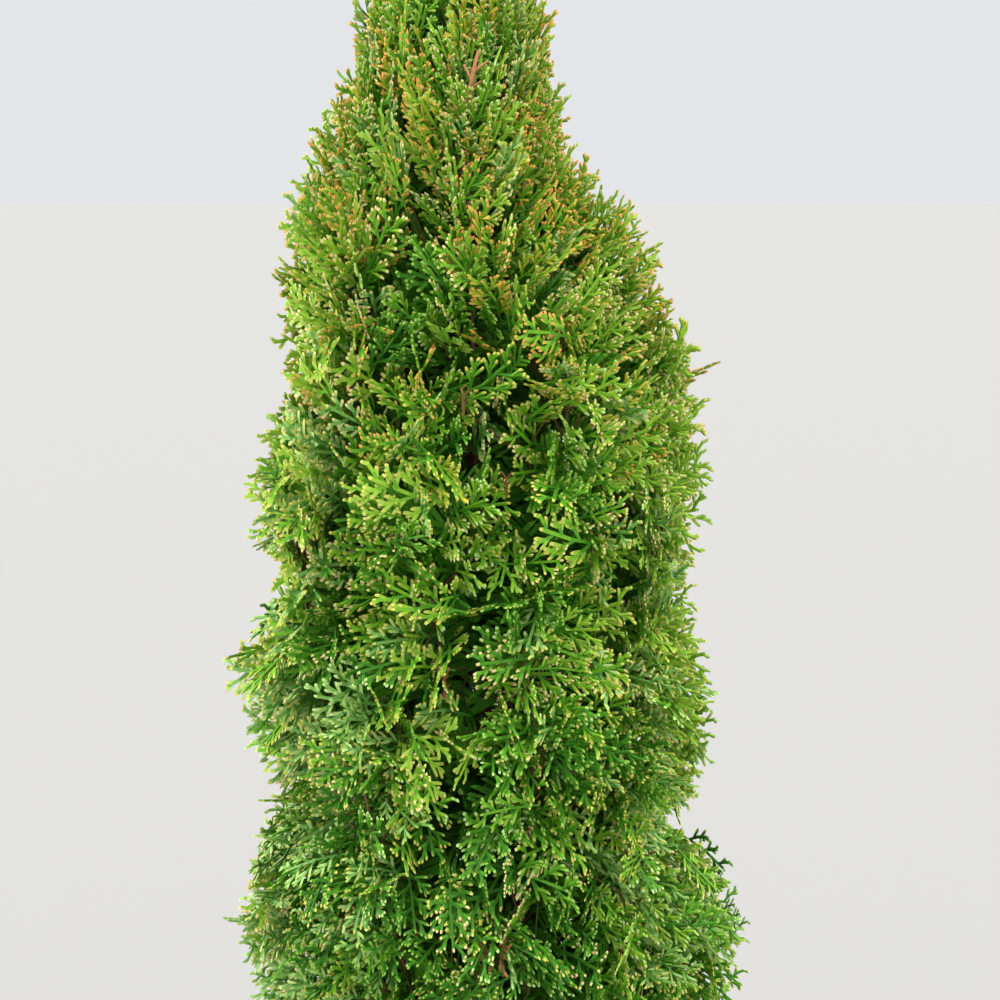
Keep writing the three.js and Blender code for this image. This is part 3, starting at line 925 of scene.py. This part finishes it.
def textured(name, stops, scale, draw_out, roughness, bump, bump_distance, fibre_share=0.5):
    """A finish whose colour, roughness and relief all come from the mottle.

    Each stop is a place on the colour ramp, and its colour as a screen shows it.
    """
    material, tree, shader = finish_of(name, linear(*stops[0][1:]), roughness[0])
    group = node(tree, "ShaderNodeGroup", scale, draw_out, 6.0, node_tree=MOTTLE)
    patches, fibres = group.outputs
    both = result(tree, "ShaderNodeMix", fibre_share, None, patches, fibres, data_type="FLOAT")
    colours = node(tree, "ShaderNodeValToRGB", both)
    elements = colours.color_ramp.elements
    while len(elements) < len(stops):
        elements.new(0.5)
    for element, (place, *colour) in zip(elements, stops):
        element.position, element.color = place, linear(*colour)
    rough = result(tree, "ShaderNodeMapRange", patches, 0.3, 0.7, *roughness)
    relief = result(tree, "ShaderNodeBump", Height=both, Strength=bump, Distance=bump_distance)
    tree.links.new(colours.outputs["Color"], shader.inputs["Base Color"])
    tree.links.new(rough, shader.inputs["Roughness"])
    tree.links.new(relief, shader.inputs["Normal"])
    return material


BARK = textured(
    "thuja_bark",
    [(0.32, 52, 32, 22), (0.46, 112, 70, 48), (0.56, 146, 102, 76), (0.70, 168, 140, 118)],
    scale=90, draw_out=9, roughness=(0.75, 0.95), bump=0.8, bump_distance=0.0012, fibre_share=0.55,
)
PLASTIC = textured(
    "pot_plastic",
    [(0.30, 24, 24, 25), (0.55, 33, 33, 34), (0.72, 58, 54, 50)],
    scale=9, draw_out=1.6, roughness=(0.36, 0.62), bump=0.12, bump_distance=0.0006, fibre_share=0.35,
)
MIX = textured(
    "potting_mix_crumb",
    [(0.34, 24, 17, 12), (0.50, 50, 34, 24), (0.64, 84, 62, 44)],
    scale=120, draw_out=1, roughness=(0.85, 1.0), bump=1.0, bump_distance=0.003,
)
CHIP_DARK, CHIP_PALE = (
    textured(name, stops, 110, 3, roughness=(0.8, 1.0), bump=0.7, bump_distance=0.001)
    for name, stops in (
        ("bark_chip_dark", [(0.35, 34, 22, 15), (0.5, 66, 42, 28), (0.66, 98, 70, 48)]),
        ("bark_chip_pale", [(0.35, 72, 48, 32), (0.5, 116, 82, 56), (0.66, 150, 116, 84)]),
    )
)


# Spray shapes


END, LEAF, AXIS, TIP = range(4)
BLUNT = 0.62
# Kinds of shoot: stops along it, the half width of each ring, the parts, and how blunt its end is
SIDE_SHOOT = ((0, 0.45, 0.90, 1), (0.75, 1, 1), (AXIS, LEAF, TIP), BLUNT)
FINGER = ((0, 0.74, 1), (0.8, 1), (END, TIP), BLUNT)
COARSE_SHOOT = ((0, 0.8, 1), (0.7, 1), (AXIS, LEAF), 0)


def arc(start, angle, length, curl, rise, stops):
    """Points on an arc in the spray's plane, at the stops' shares of its length."""
    points = []
    for share in stops:
        mean = angle - curl * share / 2
        x = start[0] + length * share * math.cos(mean)
        y = start[1] + length * share * math.sin(mean)
        points.append((x, y, start[2] + length * rise * share))
    return points


class Shape:
    """Vertices, faces and face parts of a small mesh, gathered shoot by shoot. Sizes in mm."""

    def __init__(self):
        self.places, self.faces, self.parts = [], [], []

    def add(self, kind, half, *line):
        """Adds one kind of shoot along an arc."""
        stops, shares, parts, blunt = kind
        self.shoot(arc(*line, stops), [half * share for share in shares], parts, blunt)

    def shoot(self, path, half_widths, parts, blunt=BLUNT, thickness=0.55):
        """A flattened closed cord along a path: rings of three, and an edge across its blunt end.

        Each part but the last lies between two rings, and the last is the end. A shoot that isn't
        blunt ends in a point.
        """
        first = len(self.places)
        path = [Vector(p) for p in path]
        for i, half in enumerate(half_widths):
            ahead = path[i + 1] - path[max(i - 1, 0)]
            side = Vector((-ahead.y, ahead.x, 0)).normalized() * half
            rise = Vector((0, 0, half * thickness))
            self.places += [path[i] + side - rise, path[i] - side - rise, path[i] + rise * 1.4]
        under_left = len(self.places) - 3
        under_right, top, left = under_left + 1, under_left + 2, under_left + 3
        right = left + 1 if blunt else left
        self.places += [path[-1] + side * blunt, path[-1] - side * blunt][: right - left + 1]
        self.face(parts[0], first, first + 1, first + 2)
        for a in range(3):
            b = (a + 1) % 3
            for r in range(len(half_widths) - 1):
                low = first + 3 * r
                self.face(parts[r], low + b, low + a, low + a + 3, low + b + 3)
        under = (under_right, under_left, left, right) if blunt else (under_right, under_left, left)
        self.face(parts[-1], *under)
        self.face(parts[-1], top, under_right, right)
        self.face(parts[-1], under_left, top, left)
        if blunt:
            self.face(parts[-1], top, right, left)

    def face(self, part, *corners):
        self.faces.append(corners)
        self.parts.append(part)

    def mesh(self, name):
        made = plain_mesh(name, [p * MM for p in self.places], self.faces)
        made.attributes.new("part", "INT", "FACE").data.foreach_set("value", self.parts)
        reach = [max(0.0, p.x / SHAPE_LENGTH) for p in self.places]
        made.attributes.new("reach", "FLOAT", "POINT").data.foreach_set("value", reach)
        return made


def leafy_spray(number, side_shoots, half, fine):
    """A flat hand of shoots: an axis, side shoots turn about on it, and fingers on each of them."""
    dice = random.Random(SEED + number)
    shape = Shape()
    broad = dice.uniform(0.85, 1.12)
    sway = dice.uniform(-4, 4)

    def axis_at(share):
        return share * SHAPE_LENGTH, sway * math.sin(share * math.pi), 0

    axis = [(-5, 0, 0), axis_at(0.45), axis_at(0.95), axis_at(1)]
    shape.shoot(axis, [half * 0.6, half * 0.9, half], [AXIS, LEAF, TIP])
    for i in range(side_shoots):
        share = max(0.04, 0.08 + 0.80 * (i + dice.uniform(-0.25, 0.25)) / (side_shoots - 1))
        way = 1 if (i + number) % 2 else -1
        length = SHAPE_LENGTH * (0.22 + 0.36 * (1 - share) ** 0.7) * min(1, 0.66 + 2 * share)
        length *= broad * dice.uniform(0.88, 1.12)
        start = axis_at(share)
        angle = way * math.radians(dice.uniform(42, 56))
        curl = way * math.radians(dice.uniform(14, 34))
        rise = dice.uniform(-0.12, 0.20)
        shape.add(SIDE_SHOOT if fine else COARSE_SHOOT, half, start, angle, length, curl, rise)
        fingers = round(length / FINGER_SPACING) if fine else 0
        for k in range(fingers):
            along = 0.24 + 0.52 * (k + dice.uniform(-0.2, 0.2)) / max(1, fingers - 1)
            root = arc(start, angle, length, curl, rise, (along,))[0]
            turn = way if k % 2 == 0 else -way
            reach = (3.0 + length * (0.40 - 0.28 * along)) * dice.uniform(0.85, 1.15)
            spread = angle - curl * along + turn * math.radians(dice.uniform(30, 42))
            bend = turn * math.radians(dice.uniform(6, 20))
            shape.add(FINGER, half, root, spread, reach, bend, rise * 0.6)
    return shape.mesh(f"leafy_spray_{number}")


def spray_tree():
    """Stands a shape on every point, lets it droop, and deals out its colours."""
    sizes = ["Spray Size", "Roll Jitter", "Sag"]
    tree, inputs, output = geometry_tree(
        "sprays_on_twigs", Collection=["Shapes"], Float=sizes, Int=["Seed"]
    )
    most = inputs["Roll Jitter"]
    jitter = random_between(tree, maths(tree, "MULTIPLY", most, -1.0), most, inputs["Seed"])
    to_turn = rotation(tree, attribute(tree, "turn", "FLOAT_VECTOR"))
    to_roll = rotation(tree, xyz(tree, X=jitter))
    shape = stand_on_points(
        tree,
        inputs["Shapes"],
        Points=inputs["Geometry"],
        Instance_Index=attribute(tree, "kind", "INT"),
        Rotation=result(tree, "FunctionNodeRotateRotation", to_turn, to_roll, rotation_space="LOCAL"),
        Scale=maths(tree, "MULTIPLY", attribute(tree, "size"), inputs["Spray Size"]),
    )
    bent = maths(tree, "MULTIPLY", attribute(tree, "sag"), inputs["Sag"])
    square = maths(tree, "POWER", attribute(tree, "reach"), 1.8)
    fall = xyz(tree, Z=maths(tree, "MULTIPLY", bent, square))
    shape = result(tree, "GeometryNodeSetPosition", shape, Offset=fall)
    part = attribute(tree, "part", "INT")
    from_leaf = maths(tree, "SUBTRACT", part, float(LEAF))
    body = maths(tree, "ADD", attribute(tree, "tone", "INT"), from_leaf)
    tips = maths(tree, "ADD", attribute(tree, "tip", "INT"), float(len(LEAF_TONES)))
    look = result(tree, "GeometryNodeSwitch", equal(tree, part, TIP), body, tips, input_type="INT")
    for number, material in enumerate(LEAF_TONES + TIP_TONES):
        shape = set_material(tree, shape, material, equal(tree, look, number))
    tree.links.new(shape, output)
    return tree


def sprays(name, places, shapes, seed, node_names=()):
    """One piece of sprays at the chosen places."""
    count = len(places["foot"])
    attributes = {key: places[key] for key in ("sag", "tone")}
    attributes["tip"] = places["tip_tone"]
    attributes["turn"] = turns_of(places["heading"], places["roll"])
    attributes["size"] = places["length"] / (SHAPE_LENGTH * MM)
    attributes["kind"] = np.random.default_rng(seed).integers(0, len(shapes), count)
    points = point_mesh(name, places["foot"], attributes)
    values = {"Spray Size": 1.0, "Roll Jitter": 0.15, "Sag": 1.0, "Seed": seed}
    piece(name, grow(name, points, SPRAY_TREE, values, shapes), node_names)


# Boughs and twigs


def limb_tree():
    """Makes round tapering wood along every string of edges, with fibrous relief on its skin."""
    sizes = ["Step", "Relief", "Relief Scale"]
    tree, inputs, output = geometry_tree("bark_limbs", Float=sizes, Int=["Sides"], Material=["Material"])
    line = result(tree, "GeometryNodeMeshToCurve", inputs["Geometry"])
    line = result(tree, "GeometryNodeResampleCurve", Curve=line, Length=inputs["Step"], mode="LENGTH")
    ring = result(tree, "GeometryNodeCurvePrimitiveCircle", Resolution=inputs["Sides"], Radius=1.0)
    girth = attribute(tree, "girth")
    skin = result(
        tree, "GeometryNodeCurveToMesh", Curve=line, Profile_Curve=ring, Scale=girth, Fill_Caps=True
    )
    drawn = product_of(tree, result(tree, "GeometryNodeInputPosition"), (1, 1, 0.1))
    rough = maths(tree, "SUBTRACT", noise_at(tree, drawn, inputs["Relief Scale"], 3.0), 0.5)
    normal = result(tree, "GeometryNodeInputNormal")
    height = maths(tree, "MULTIPLY", rough, inputs["Relief"])
    push = result(tree, "ShaderNodeVectorMath", normal, Scale=height, operation="SCALE")
    skin = result(tree, "GeometryNodeSetPosition", skin, Offset=push)
    skin = result(tree, "GeometryNodeSetShadeSmooth", skin)
    skin = result(tree, "GeometryNodeRealizeInstances", skin)
    tree.links.new(set_material(tree, skin, inputs["Material"]), output)
    return tree


def wood(name, lines, values, node_names=()):
    """One piece of wood along many lines, each a list of places and a list of radii."""
    places, edges, girths = [], [], []
    for points, radii in lines:
        first = len(places)
        places += [tuple(p) for p in points]
        girths += list(radii)
        edges += [(first + i, first + i + 1) for i in range(len(points) - 1)]
    source = point_mesh(name, places, {"girth": np.array(girths, float)}, edges)
    piece(name, grow(name, source, LIMB_TREE, values), node_names)


def trunk_line():
    rise = np.concatenate([np.linspace(0, 0.10, 18), np.linspace(0.11, 1, 60)])
    z = GROUND + (TRUNK_TIP - GROUND) * rise
    flare = FLARE * np.exp(-(z - GROUND) / FLARE_HEIGHT)
    return crown_middle(z), trunk_radius(z) * (1 + flare)


def bough_lines():
    """Each bough and the stem that carries on from its tip, through the plume."""
    made = []
    share = np.linspace(0, STEM_END, STEM_STOPS)
    for i in range(STEMS):
        begins = max(BEGINS[i], 1e-6)
        bough = BOUGH_RADIUS + (BOUGH_TIP_RADIUS - BOUGH_RADIUS) * np.clip(share / begins, 0, 1)
        thinning = (BOUGH_TIP_RADIUS - STEM_TIP_RADIUS) * (share - begins) / (STEM_END - begins)
        radii = np.where(share < begins, bough, BOUGH_TIP_RADIUS - thinning)
        made.append((on_line(np.full(STEM_STOPS, i), share), radii))
    return made


def lateral_lines():
    """Side shoots of each plume's stem, in a golden spiral, rising towards its envelope."""
    number = np.arange(STEMS * LATERALS)
    plume = number // LATERALS
    turn = np.array([i * GOLDEN_ANGLE + 6.283 * chance(p, 4) for p, i in zip(plume, number)])
    order = np.array([i % LATERALS + 0.5 * chance(p, i, 9) for p, i in zip(plume, number)])
    share = 0.05 + 0.85 * order / LATERALS
    root_share = BEGINS[plume] + 0.02 + (0.93 - BEGINS[plume]) * share
    root = on_line(plume, root_share)
    middle, across, over, along = section(plume, np.minimum(root_share + 0.10, 0.97))
    outward = across * np.cos(turn)[:, None] + over * np.sin(turn)[:, None]
    reach = reaches_of(plume, share, middle, outward)
    end = middle + outward * (0.62 * reach)[:, None]
    bend = root + (end - root) * 0.5 + outward * 0.12 * reach[:, None] - along * 0.004
    t = np.linspace(0, 1, len(LATERAL_RADII))[:, None]
    return plume, [(curve(a, b, c, t), LATERAL_RADII) for a, b, c in zip(root, bend, end)]


def twig_lines(places, plume_of_lateral, laterals):
    """A twig to every spray's foot from the nearest wood behind it."""
    starts, owners = [], []
    for plume, (points, _) in zip(plume_of_lateral, laterals):
        starts.append(points[1:])
        owners += [plume] * (len(points) - 1)
    for i in range(STEMS):
        share = np.linspace(BEGINS[i] + 0.04, STEM_END, STEM_STARTS)
        starts.append(on_line(np.full(STEM_STARTS, i), share))
        owners += [i] * STEM_STARTS
    starts, owners = np.concatenate(starts), np.array(owners)
    t = np.linspace(0, 1, len(TWIG_RADII) - 1)[:, None]
    lines = []
    for plume, foot, heading in zip(places["plume"], places["foot"], places["heading"]):
        near = starts[owners == plume]
        gap = foot - near
        far = np.linalg.norm(gap, axis=1)
        behind = (gap @ heading) / np.maximum(far, 1e-6)
        start = near[np.argmin(far * (1.6 - behind))]
        run = np.linalg.norm(foot - start)
        bend = (start + foot) / 2 - heading * min(0.2 * run, 0.010)
        points = np.concatenate([curve(start, bend, foot, t), [foot + heading * 0.006]])
        lines.append((points, TWIG_RADII))
    return lines


def dead_twig_lines():
    """Bare, forked twigs at the front of the crown, each leaning on its own plume."""
    dice = np.random.default_rng(DEAD_TWIG_SEED)
    shares = np.linspace(0, 1, DEAD_TWIG_STOPS)[:, None]
    lines = []
    for x, z, length, lean, girth in DEAD_TWIGS:
        radius = float(crown_radius(z, -math.pi / 2))
        azimuth = -math.acos(np.clip((x - crown_middle(z)[0]) / radius, -1, 1))
        foot = crown_point(radius - 0.030, azimuth, z)
        heading = np.array([math.sin(lean), 0, math.cos(lean)]) + 0.25 * level_way(azimuth)
        aside = np.array([math.cos(lean), 0, -math.sin(lean)])
        wander = dice.normal(0, 0.0016, (DEAD_TWIG_STOPS, 3)) * shares
        main = foot + heading * length * shares + wander
        lines.append((main, np.linspace(girth, 0.6 * girth, DEAD_TWIG_STOPS)))
        for start, side in FORKS:
            reach = length * dice.uniform(0.22, 0.34)
            way = heading * 0.75 + aside * side * 0.65
            points = main[start] + way * reach * np.linspace(0, 1, 4)[:, None]
            lines.append((points, np.linspace(0.6 * girth, 0.4 * girth, 4)))
    return lines


# Pot and potting mix


def lathe(name, profile, sides):
    """Turns a closed profile of radius and height about Z. Points on the axis become one vertex."""
    places, rings, faces = [], [], []
    for radius, height in profile:
        angles = np.arange(1 if radius < 1e-7 else sides) * TAU / sides
        rings.append([len(places) + i % len(angles) for i in range(sides)])
        places += [(radius * math.cos(a), radius * math.sin(a), height) for a in angles]
    for low, high in zip(rings, rings[1:]):
        for i in range(sides):
            j = (i + 1) % sides
            corners = list(dict.fromkeys([low[i], low[j], high[j], high[i]]))
            if len(corners) > 2:
                faces.append(corners)
    return plain_mesh(name, places, faces)


def pot_radius(z):
    return POT_FOOT_RADIUS + (POT_MOUTH_RADIUS - POT_FOOT_RADIUS) * z / POT_HEIGHT


def round_corner(before, corner, after, size):
    """Replaces one corner of a profile with an arc that starts and ends that far from it."""
    before, corner, after = (np.array(point, float) for point in (before, corner, after))
    start = corner + unit(before - corner) * size
    end = corner + unit(after - corner) * size
    return [tuple(p) for p in curve(start, corner, end, np.linspace(0, 1, 5)[:, None])]


def pot_profile():
    """Underside, outer wall with its hoops and rim, rolled lip, inner wall and floor.

    Each corner is its radius, its height and how far it is rounded off.
    """
    rim_foot = POT_HEIGHT - RIM_DEPTH
    mouth = pot_radius(POT_HEIGHT)
    hoops = [(pot_radius(z) + out, z + up, 0) for z in HOOP_HEIGHTS for out, up in HOOP_SECTION]
    corners = [
        (0.112, UNDERSIDE_RISE, 0),
        (0.114, 0.0, 0),
        (POT_FOOT_RADIUS - 0.004, 0.0, 0.002),
        (pot_radius(0.004), 0.004, 0.002),
        *hoops,
        (pot_radius(rim_foot), rim_foot, 0.0012),
        (pot_radius(rim_foot) + RIM_STEP, rim_foot + 0.003, 0.0015),
        (mouth + RIM_STEP, POT_HEIGHT - 0.006, 0.001),
        (mouth + RIM_STEP, POT_HEIGHT, 0.0022),
        (mouth - POT_WALL, POT_HEIGHT, 0.0012),
        (pot_radius(POT_WALL) - POT_WALL, POT_WALL, 0),
    ]
    profile = [(0.0, UNDERSIDE_RISE)]
    for i, (*corner, size) in enumerate(corners):
        if size:
            profile += round_corner(corners[i - 1][:2], corner, corners[i + 1][:2], size)
        else:
            profile.append(corner)
    return profile + [(0.0, POT_WALL)]


def make_pot():
    places, faces = [], []
    deep, wide, high = DRAIN_SLOT
    for i in range(DRAIN_SLOTS):
        turn = Matrix.Rotation((i + 0.5) * TAU / DRAIN_SLOTS, 4, "Z")
        faces += [[len(places) + corner for corner in face] for face in BOX_FACES]
        for x, y, z in product((-1, 1), repeat=3):
            corner = (POT_FOOT_RADIUS + x * deep / 2, y * wide / 2, DRAIN_HEIGHT + z * high / 2)
            places.append(turn @ Vector(corner))
    shell = add_object("pot_blank", lathe("pot_blank", pot_profile(), 144))
    cutter = add_object("drain_slots", plain_mesh("drain_slots", places, faces))
    cut = shell.modifiers.new("drain slots", "BOOLEAN")
    cut.operation, cut.object, cut.solver = "DIFFERENCE", cutter, "EXACT"
    mesh = baked(shell)
    bpy.data.objects.remove(cutter)
    mesh.materials.clear()
    mesh.materials.append(PLASTIC)
    mesh.shade_smooth()
    mesh.set_sharp_from_angle(angle=math.radians(35))
    piece("nursery_pot", mesh, ["pot"])


def mix_height(radius):
    """The potting mix is level round the trunk and falls away a little towards the wall."""
    edge = pot_radius(GROUND) - POT_WALL
    return GROUND - MIX_FALL * above(radius, MIX_FLAT_RADIUS, edge - MIX_FLAT_RADIUS)


def inside_pot(z):
    return pot_radius(z) - POT_WALL - 0.0004


def make_mix():
    """The mix's crumbly top, with its plain sides and floor inside the pot."""
    floor = POT_WALL + 0.0003
    edge = GROUND - MIX_FALL
    profile = [(0.0, floor), (inside_pot(floor), floor), (inside_pot(edge * 0.5), edge * 0.5)]
    profile += [(r, mix_height(r)) for r in np.linspace(inside_pot(edge), 0.004, 46)]
    mesh = lathe("potting_mix_top", profile + [(0.0, GROUND)], 120)
    for vertex in mesh.vertices:
        radius = math.hypot(vertex.co.x, vertex.co.y)
        if vertex.co.z > edge - 0.001:
            place = vertex.co * 70
            fade = below(radius, inside_pot(edge), 0.006) * above(radius, 0.02, 0.01)
            crumb = noise.noise(place) * 0.6 + noise.noise(place * 2.7) * 0.4
            vertex.co.z += CRUMB_HEIGHT * crumb * fade
    mesh.materials.append(MIX)
    mesh.shade_smooth()
    piece("potting_mix_bed", mesh, ["potting_mix"])


def chip_shape(number):
    """One flat, broken piece of bark. Sizes in mm."""
    dice = random.Random(CHIP_SEED + number)
    length, width, thick = dice.uniform(9, 15), dice.uniform(5, 8), dice.uniform(1.6, 2.8)
    outline = []
    for i in range(CHIP_CORNERS):
        angle = TAU * i / CHIP_CORNERS + dice.uniform(-0.25, 0.25)
        size = dice.uniform(0.8, 1.1)
        outline.append((length / 2 * size * math.cos(angle), width / 2 * size * math.sin(angle)))
    places = [(x, y, -thick / 2) for x, y in outline]
    places += [(x * 0.86, y * 0.86, thick / 2 + dice.uniform(-0.4, 0.4)) for x, y in outline]
    low = list(range(CHIP_CORNERS))
    after = low[1:] + low[:1]
    faces = [low[::-1], [i + CHIP_CORNERS for i in low]]
    faces += [(i, j, j + CHIP_CORNERS, i + CHIP_CORNERS) for i, j in zip(low, after)]
    return plain_mesh(f"chip_{number}", [[c * MM for c in p] for p in places], faces)


def chip_tree():
    """Scatters chips over a surface, flat on it with a little tilt."""
    tree, inputs, output = geometry_tree(
        "chips_on_mix",
        Collection=["Shapes"],
        Float=["Density", "Least Size", "Most Size"],
        Int=["Seed"],
        Material=["Dark", "Pale"],
    )
    seed = inputs["Seed"]
    spread = {"Density": inputs["Density"], "Seed": seed, "distribute_method": "RANDOM"}
    spots = result(tree, "GeometryNodeDistributePointsOnFaces", inputs["Geometry"], **spread)
    second, third = (maths(tree, "ADD", seed, step) for step in (1.0, 2.0))
    kind = "FunctionNodeRandomValue"
    pale = result(tree, kind, Probability=PALE_CHIPS, Seed=third, out=3, data_type="BOOLEAN")
    low, high = (-CHIP_TILT, -CHIP_TILT, 0.0), (CHIP_TILT, CHIP_TILT, TAU)
    turn = result(tree, kind, low, high, Seed=seed, data_type="FLOAT_VECTOR")
    mark = {"Name": "pale", "Value": pale, "data_type": "BOOLEAN", "domain": "POINT"}
    marked = result(tree, "GeometryNodeStoreNamedAttribute", Geometry=spots, **mark)
    size = random_between(tree, inputs["Least Size"], inputs["Most Size"], second)
    turned = rotation(tree, turn)
    real = stand_on_points(tree, inputs["Shapes"], Points=marked, Rotation=turned, Scale=size)
    dark = set_material(tree, real, inputs["Dark"])
    both = set_material(tree, dark, inputs["Pale"], attribute(tree, "pale", "BOOLEAN"))
    tree.links.new(both, output)
    return tree


def make_chips():
    edge = pot_radius(GROUND) - POT_WALL - 0.011
    bed = lathe("chip_bed", [(r, mix_height(r) + 0.0012) for r in np.linspace(edge, 0.026, 12)], 48)
    values = {"Density": 11000.0, "Least Size": 0.45, "Most Size": 1.2, "Seed": 5}
    values.update({"Dark": CHIP_DARK, "Pale": CHIP_PALE})
    chips = [chip_shape(i) for i in range(CHIP_KINDS)]
    piece("bark_chips", grow("bark_chips", bed, chip_tree(), values, chips))


# Assembly


make_pot()
make_mix()
make_chips()

outer, middle, inner = (spray_places(SEED + 1 + i, *layer) for i, layer in enumerate(LAYERS))
plume_of_lateral, laterals = lateral_lines()
twigs = twig_lines(outer, plume_of_lateral, laterals)
dead = dead_twig_lines()
first_dead = 1 + len(FORKS)

# Pieces of wood: name, lines, step, sides, relief, relief scale, finish and the nodes that they replace
LIMB_TREE = limb_tree()
bough_names = [f"bough_{name}" for name in NODE_NAMES[:PLUMES]]
for name, lines, step, sides, relief, relief_scale, finish, names in (
    ("trunk_bark", [trunk_line()], 0.006, 28, 0.0035, 150.0, BARK, ["trunk"]),
    ("bough_bark", bough_lines(), 0.008, 9, 0.0010, 260.0, BARK, bough_names),
    ("side_shoots", laterals, 0.014, 5, 0.0, 200.0, BROWN_TWIG, ()),
    ("dead_twigs", dead[:first_dead], 0.005, 3, 0.0, 200.0, DEAD_TWIG, ()),
    ("weathered_twigs", dead[first_dead:], 0.005, 3, 0.0, 200.0, WEATHERED_TWIG, ()),
    ("brown_twigs", twigs[0::3], 0.014, 3, 0.0, 200.0, BROWN_TWIG, ()),
    ("green_twigs", twigs[1::3] + twigs[2::3], 0.014, 3, 0.0, 200.0, GREEN_TWIG, ()),
):
    values = {"Step": step, "Sides": sides, "Relief": relief, "Relief Scale": relief_scale}
    wood(name, lines, {**values, "Material": finish}, names)

SPRAY_TREE = spray_tree()
outer["tone"], outer["tip_tone"] = tones_of(outer)
for tier, group in enumerate(np.array_split(np.arange(STEMS), TIERS)):
    half = SHOOT_HALF_WIDTH * (1 + SHOOT_GAIN * tier / (TIERS - 1))
    shapes = [leafy_spray(i, FINE_SIDE_SHOOTS, half, True) for i in range(SPRAY_KINDS)]
    places = chosen(outer, np.isin(outer["plume"], group))
    names = [f"foliage_{NODE_NAMES[i]}" for i in group]
    sprays(f"sprays_tier_{tier + 1}", places, shapes, TIER_SEED + tier, names)

# Looser sprays behind: their shapes' first number, side shoots and half width, and a darker tone,
# painted shade for sprays deep in the crown
for number, (name, places, first, side_shoots, half, dark) in enumerate((
    ("sprays_in_half_shade", middle, 50, 12, 1.55, GREEN),
    ("sprays_in_shade", inner, 80, 13, 2.0, DEEP),
)):
    places["tone"] = shade_tones(places, VIVID, dark)
    places["tip_tone"] = np.full(len(places["tone"]), FRESH)
    shapes = [leafy_spray(first + i, side_shoots, half, False) for i in range(COARSE_KINDS)]
    sprays(name, places, shapes, SHADE_SEED + number)


# Camera, floor and light


FLOOR_HALF = 30
CAMERA_PLACE = (0.012, -2.5, 1.3)
CAMERA_DROP = 8.4
LENS, SENSOR_WIDTH = 100, 36
# Soft, even lights from far away: azimuth and height that they come from, softness, strength, colour
SUNS = (
    ("overcast", -60, 80, 90, 2.6, (1.0, 0.99, 0.96)),
    ("front_fill", -90, 12, 70, 0.6, (1.0, 1.0, 0.97)),
    ("left_fill", -172, 25, 60, 3.9, (1.0, 0.99, 0.97)),
    ("right_fill", -8, 25, 60, 2.5, (1.0, 0.99, 0.97)),
)

floor_corners = [(FLOOR_HALF * x, FLOOR_HALF * y, 0) for x, y in ((-1, -1), (1, -1), (1, 1), (-1, 1))]
floor_mesh = plain_mesh("floor", floor_corners, [(0, 1, 2, 3)])
floor_mesh.materials.append(finish_of("pale_floor", (0.29, 0.287, 0.28, 1), 0.85)[0])
floor = add_object("floor", floor_mesh)

world = bpy.data.worlds.new("studio")
world.use_nodes = True
sky = world.node_tree.nodes["Background"].inputs
sky["Color"].default_value, sky["Strength"].default_value = (0.77, 0.79, 0.81, 1), 1.0
bpy.context.scene.world = world

for name, azimuth, elevation, softness, strength, colour in SUNS:
    data = bpy.data.lights.new(name, "SUN")
    data.energy, data.angle, data.color = strength, math.radians(softness), colour
    turn, rise = math.radians(azimuth), math.radians(elevation)
    toward = Vector((math.cos(turn) * math.cos(rise), math.sin(turn) * math.cos(rise), math.sin(rise)))
    lamp = add_object(name, data)
    lamp.rotation_euler = toward.to_track_quat("Z", "Y").to_euler()
    lamp.location = toward * 4

camera_data = bpy.data.cameras.new("camera")
camera_data.lens, camera_data.sensor_width = LENS, SENSOR_WIDTH
camera = add_object("camera", camera_data)
camera.location = CAMERA_PLACE
camera.rotation_euler = (math.radians(90 - CAMERA_DROP), 0, 0)
bpy.context.scene.camera = camera
bpy.context.scene.view_settings.view_transform = "Standard"
